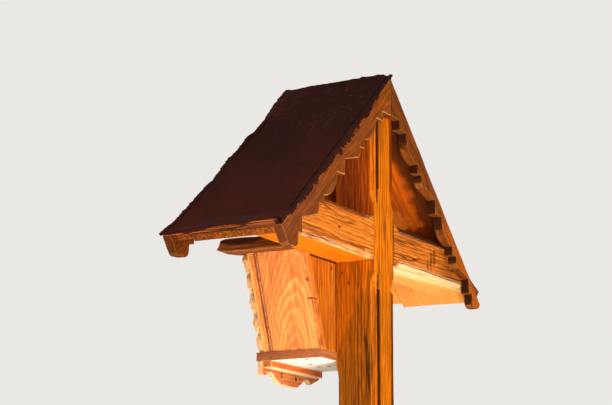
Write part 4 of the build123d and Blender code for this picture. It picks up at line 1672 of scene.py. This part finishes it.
@dataclass
class ShrineBox:
    """The open box in front of the post with its rails, trims and apron."""

    bevel: float = 1.2 * MM
    lean: float = 0.38
    trim_cut: Cut = Cut(2.5 * MM, 2.2, 0.009, 0.0)
    rail_cut: Cut = Cut(5 * MM, 1.2, 0.02)
    apron_cut: Cut = Cut(4 * MM, 0.9, 0.012, 0.0)
    nose_start: float = -0.2
    rail_low: float = 1.608
    rail_height: float = 28 * MM
    holes: Curve = (  # x and y of the drain holes
        (0.098, -0.086), (0.090, -0.068), (0.016, -0.121), (-0.031, -0.125), (-0.032, -0.101),
    )
    nose_top: Curve = (  # y and z of a rail's nose, above and below
        (-0.235, 1.6225), (-0.230, 1.629), (-0.2255, 1.634), (-0.216, 1.6362), (-0.20, 1.636),
    )
    nose_low: Curve = ((-0.235, 1.614), (-0.216, 1.6102), (-0.201, 1.608))
    wall: Timber = Timber(
        "Box wall", early=srgb(242, 133, 66), tint=srgb(240, 126, 52), late=(1.12, 1.5, 1.9, 1.0),
        fibre=(0.9, 0.72, 0.6, 1.0), pale=srgb(255, 220, 160), heart=(-0.01, -0.034),
        ring_width=6.2 * MM, lean=-0.21, skew=-0.16, wander=6 * MM, contrast=0.95, cover=0.1,
        stain_share=0.25, cracks=0.12, figure=0.8, figure_above=1.545, worn=0.15,
        patches=(
            # Painted shade on the wall beside the stile.
            Patch(srgb(150, 50, 14), 0.8, beyond=(before(-0.1555),), ragged=3 * MM, soft=1.5 * MM),
            Patch(srgb(206, 104, 26), 0.9, towards=BACK),
            Patch(srgb(96, 36, 12), 0.8, beyond=(behind(-0.0485), before(-0.0458)), ragged=8 * MM,
                  soft=1 * MM, over=True),
            Patch(srgb(84, 30, 12), 0.85, around=((0.15, -0.05, 1.511), (0.03, 0.009, 0.0018)), over=True),
            Patch(srgb(120, 48, 20), 0.7, around=((0.16, -0.052, 1.548), (0.03, 0.005, 0.004))),
        ),
    )
    back: Timber = Timber(
        "Box back", early=srgb(196, 105, 20), tint=srgb(166, 82, 12), stain=srgb(120, 54, 10),
        heart=(0.08, -0.05), ring_width=6.8 * MM, lean=0.004, contrast=0.35, stain_share=0.4,
        cracks=0.25, worn=0.1, flecked=0.35,
        patches=(
            Patch(srgb(160, 72, 22), 0.6, around=((0.13, -0.045, 1.555), (0.02, 0.03, 0.04)), ragged=0.08,
                  streaked=True),
            Patch(srgb(170, 76, 12), 0.5, beyond=(below(1.5),), streaked=True, ragged=0.06),
            # Painted shade in the groove beside the post, and a painted shadow along the top edge under the
            # beam.
            Patch(srgb(22, 9, 3), 0.92, beyond=(right_of(0.0482), left_of(0.044)), ragged=0.5 * MM,
                  soft=1.2 * MM, over=True),
            Patch(srgb(26, 10, 3), 0.9, beyond=(above(1.5965),), ragged=0.5 * MM, soft=1.2 * MM, over=True),
        ),
        knots=(Knot(Vector((0.0666, -0.045, 1.585)), 0.003),),
    )
    stile: Timber = Timber(
        "Box stile", early=srgb(238, 136, 64), tint=srgb(246, 150, 80), fibre=(0.7, 0.5, 0.38, 1.0),
        pale=srgb(255, 222, 170), contrast=0.2, cover=0.1, stain_share=0.25, cracks=0.15, figure=0.95,
        worn=0.3, lined=0.3,
        patches=(
            # Painted shade in the gap between the stile and the wall.
            Patch(srgb(120, 38, 10), 0.9, beyond=(behind(-0.1645),), ragged=2 * MM, soft=1.5 * MM),
            Patch(srgb(255, 190, 116), 0.6, beyond=(before(-0.1745),), ragged=4 * MM, soft=2 * MM),
        ),
    )
    rail: Timber = Timber(
        "Box rail", early=srgb(170, 92, 38), tint=srgb(116, 58, 24), stain=srgb(70, 30, 14),
        pale=srgb(214, 140, 84), heart=(0.0, -0.05), cover=0.4, cracks=0.5, worn=0.4, lined=0.9,
    )
    front: Timber = Timber(
        "Box front rail", early=srgb(218, 112, 52), tint=srgb(206, 100, 42), pale=srgb(255, 206, 140),
        contrast=0.4, cover=0.2, stain_share=0.3, cracks=0.2,
        # Painted light from below on the underside.
        patches=(Patch(srgb(255, 232, 180), 0.9, towards=DOWN),),
    )
    trim: Timber = Timber(
        "Box trim", early=srgb(214, 122, 58), tint=srgb(200, 102, 44), stain=srgb(120, 54, 22),
        fibre=(0.7, 0.5, 0.38, 1.0), pale=srgb(255, 216, 150), heart=(0.0, -0.05), ring_width=5 * MM,
        contrast=0.4, cover=0.25, stain_share=0.4, cracks=0.35, figure=0.7, worn=0.45,
        patches=(
            # Painted light from below on the undersides.
            Patch(srgb(255, 220, 160), 0.7, towards=DOWN, facing=(0.6, 0.95)),
            Patch(srgb(158, 78, 34), 0.6, towards=BACK),
        ),
    )

    def floor_finish(self) -> Timber:
        """Choose the finish of the floor board: dark edges, painted light on the underside and painted shade
        in the drain holes.

        Returns:
            The finish.
        """
        places = [(x, y, 1.403) for x, y in self.holes]
        return Timber(
            "Box floor", early=srgb(158, 82, 44), tint=srgb(134, 66, 36), pale=srgb(220, 140, 90),
            ring_width=5 * MM, contrast=0.5, cover=0.3, stain_share=0.4, worn=0.3,
            patches=(
                Patch(srgb(158, 84, 26), 0.8, towards=BACK, streaked=True),
                # Painted light from below on the underside, with orange streaks.
                Patch(srgb(255, 255, 240), 0.98, towards=DOWN, over=True),
                Patch(srgb(236, 170, 106), 0.22, towards=DOWN, streaked=True, over=True),
                # Painted shade in the drain holes.
                *shaded_holes(srgb(52, 24, 8), 0.95, places, (6.2 * MM, 6.2 * MM, 30 * MM)),
            ),
        )

    def rail_finish(self, side: Side) -> Timber:
        """Choose the finish of a box rail, darker along the top of its outer face.

        Args:
            side: Side of the rail.

        Returns:
            The finish.
        """
        # A dark band along the top of the rail's outer face, near its nose.
        dark_band = ((side.value * 0.2175, -0.178, 1.641), (0.03, 0.08, 0.021))
        return replace(self.rail, patches=(Patch(srgb(48, 16, 8), 0.95, around=dark_band, ragged=12 * MM),))

    def apron_finish(self) -> Timber:
        """Choose the finish of the apron with painted shade in its two holes.

        Returns:
            The finish.
        """
        places = [(x, -0.186, 1.371) for x in (-0.032, 0.032)]
        # Painted shade in the apron's two holes.
        holes = shaded_holes(srgb(84, 34, 14), 0.9, places, (5 * MM, 20 * MM, 6 * MM))
        return replace(
            self.trim, early=srgb(248, 158, 92), tint=srgb(238, 140, 76), patches=self.trim.patches + holes
        )

    def wear_nose(self, place: Vector) -> Vector:
        """Round the raking nose of a box rail as it is worn.

        Args:
            place: A point of the rail.

        Returns:
            Its new place.
        """
        if place.y > self.nose_start:
            return place
        top, low = table(self.nose_top, place.y), table(self.nose_low, place.y)
        share = (place.z - self.rail_low) / self.rail_height
        return Vector((place.x, place.y, low + share * (top - low)))

    def wall_direction(self, side: Side) -> Vector:
        """Direction up a side wall."""
        return Vector((side.value * self.lean, 0.0, 1.0)).normalized()

    def dressed(
        self, name: str, node: str, timber: Timber, slot: Slot, along: Vector, face: Vector, seed: float,
        cut: Cut = Cut(),
    ) -> None:
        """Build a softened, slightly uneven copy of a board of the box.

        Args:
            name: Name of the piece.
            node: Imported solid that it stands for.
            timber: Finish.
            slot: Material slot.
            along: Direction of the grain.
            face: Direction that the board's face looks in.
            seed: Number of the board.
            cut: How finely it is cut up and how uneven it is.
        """
        piece = Piece(name, node).soften(self.bevel, margin=cut.margin).slice(along, cut.pitch)
        if node == "apron":
            piece.slice(UP, cut.pitch)
        if node.startswith("box_rail"):
            piece.bend(self.wear_nose)
        piece.warp(Vector((cut.rough, cut.rough, cut.rough)) * MM, size=cut.wave, seed=seed)
        piece.done(slot, timber.material(name, Grain(along, face, node_middle(node)), seed))

    def build(self) -> None:
        """Build every board of the box."""
        for index, side in enumerate(Side):
            rise = self.wall_direction(side)
            out = Vector((side.value, 0, -self.lean)).normalized()
            pairs = (
                ("box_wall", "box_side", self.wall, Slot.BOX, rise, out, Cut()),
                ("box_stile", "front_stile", self.stile, Slot.BOX, rise, out, Cut()),
                ("box_trim", "stile_trim", self.trim, Slot.TRIM, rise, BACK, self.trim_cut),
                ("box_back", "back_board", self.back, Slot.BOX, UP, BACK, Cut()),
                ("box_top_rail", "box_rail", self.rail_finish(side), Slot.BEAM, BACK, out, self.rail_cut),
            )
            for row, (name, node, timber, slot, along, face, cut) in enumerate(pairs):
                self.dressed(
                    f"{name}_{side.word}", f"{node}_{side.word}", timber, slot, along, face,
                    20.0 + 2 * row + index, cut,
                )
        self.dressed("box_back_middle", "back_board_middle", self.back, Slot.BOX, UP, BACK, 31.0)
        self.dressed(
            "box_floor_board", "box_floor", self.floor_finish(), Slot.BOX, LEFT, UP, 32.0, Cut(margin=0.0)
        )
        self.dressed("box_front_rail", "front_rail", self.front, Slot.BOX, LEFT, BACK, 33.0)
        self.dressed("box_apron", "apron", self.apron_finish(), Slot.TRIM, LEFT, BACK, 34.0, self.apron_cut)


@dataclass(frozen=True)
class Lamp:
    """A soft square lamp; the power is in watts and the spread of its light in degrees."""

    name: str
    place: Vector
    size: float
    power: float
    aim: Vector = Vector((0.0, -0.05, 1.7))
    spread: float = 180.0

    def build(self) -> None:
        """Add the lamp to the scene."""
        data = bpy.data.lights.new(self.name, "AREA")
        data.size = self.size
        data.spread = math.radians(self.spread)
        data.energy = self.power
        data.color = (1.0, 0.96, 0.9)
        made = bpy.data.objects.new(self.name, data)
        made.location = self.place
        made.rotation_euler = (self.aim - self.place).to_track_quat("-Z", "Y").to_euler()
        bpy.context.scene.collection.objects.link(made)


@dataclass
class Studio:
    """Floor, soft light and camera."""

    camera_place: Vector = field(default_factory=lambda: Vector((3.6327, 1.7577, 0.8995)))
    camera_look: Vector = field(default_factory=lambda: Vector((-0.86810, -0.45335, 0.20219)))
    lens: float = 114.72
    sensor: float = 36.0
    floor_half: float = 12.0
    floor_colour: Colour = (0.8, 0.79, 0.77, 1)
    backdrop: Colour = (0.83, 0.81, 0.78, 1)
    ambient: float = 0.5
    ambient_colour: Colour = (1, 0.98, 0.95, 1)
    lamps: tuple[Lamp, ...] = (
        Lamp("key", Vector((1.85, 1.6, 0.98)), 0.9, 6.6, spread=90.0),
        Lamp("fill", Vector((3.0, 0.6, 2.6)), 2.0, 16.0),
        Lamp("front", Vector((-0.8, -2.8, 2.2)), 1.8, 30.0),
        Lamp("low", Vector((0.5, 0.8, 0.4)), 0.6, 5.4, Vector((-0.02, -0.05, 1.5)), 80.0),
        Lamp("gable", Vector((1.8, 1.25, 1.49)), 0.3, 0.5, Vector((-0.28, -0.05, 1.75)), 26.0),
    )

    def build_floor(self) -> None:
        """Build the pale floor."""
        mesh = bmesh.new()
        bmesh.ops.create_grid(mesh, x_segments=1, y_segments=1, size=self.floor_half)
        bmesh.ops.translate(mesh, verts=mesh.verts, vec=Vector((0, 0, -0.5 * MM)))
        data = bpy.data.meshes.new("floor")
        mesh.to_mesh(data)
        mesh.free()
        made = bpy.data.materials.new("Pale floor")
        made.use_nodes = True
        shader = made.node_tree.nodes["Principled BSDF"].inputs
        shader["Base Color"].default_value = self.floor_colour
        shader["Roughness"].default_value = 0.9
        data.materials.append(made)
        floor = bpy.data.objects.new("floor", data)
        bpy.context.scene.collection.objects.link(floor)

    def build_world(self) -> None:
        """Build the even light from all round and the pale backdrop."""
        world = bpy.data.worlds.new("Studio")
        bpy.context.scene.world = world
        world.use_nodes = True
        world.node_tree.nodes.clear()
        pen = Tree(world.node_tree)
        path = pen.add("LightPath").outputs
        seen = pen.plus(path["Is Camera Ray"], path["Is Glossy Ray"], clamp=True)
        seen = pen.plus(seen, path["Is Transmission Ray"], clamp=True)
        light = pen.add("Background", None, Color=self.ambient_colour, Strength=self.ambient)
        back = pen.add("Background", None, Color=self.backdrop, Strength=1.0)
        mixed = pen.add("MixShader")
        for socket, value in zip(mixed.inputs, (seen, light.outputs[0], back.outputs[0])):
            pen.feed(socket, value)
        pen.add("OutputWorld", None, Surface=mixed.outputs[0])

    def build_camera(self) -> None:
        """Place the camera at the photograph's viewing angle."""
        data = bpy.data.cameras.new("camera")
        data.lens = self.lens
        data.sensor_width = self.sensor
        data.clip_end = 60.0
        made = bpy.data.objects.new("camera", data)
        made.location = self.camera_place
        made.rotation_euler = self.camera_look.to_track_quat("-Z", "Y").to_euler()
        bpy.context.scene.collection.objects.link(made)
        bpy.context.scene.camera = made

    def build(self) -> None:
        """Build the whole studio."""
        self.build_camera()
        self.build_floor()
        self.build_world()
        for lamp in self.lamps:
            lamp.build()
        bpy.context.scene.view_settings.view_transform = "Standard"


def make_groups() -> None:
    """Build the shared node groups once."""
    for make in (
        make_growth_rings, make_fibres, make_knot, make_cracks, make_weather, make_facing,
        make_edge_line, make_spot, make_figure, make_moss,
    ):
        make()


def main() -> None:
    """Build the studio and every sub-assembly in order."""
    logging.basicConfig(level=logging.INFO, format="%(message)s")
    noise.seed_set(WAVES)
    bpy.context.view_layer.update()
    make_groups()
    for part in (Studio(), PostAndBeam(), RoofBoards(), Bargeboards(), Covering(), ShrineBox()):
        LOG.info("building %s", type(part).__name__)
        part.build()


if __name__ == "__main__":
    main()
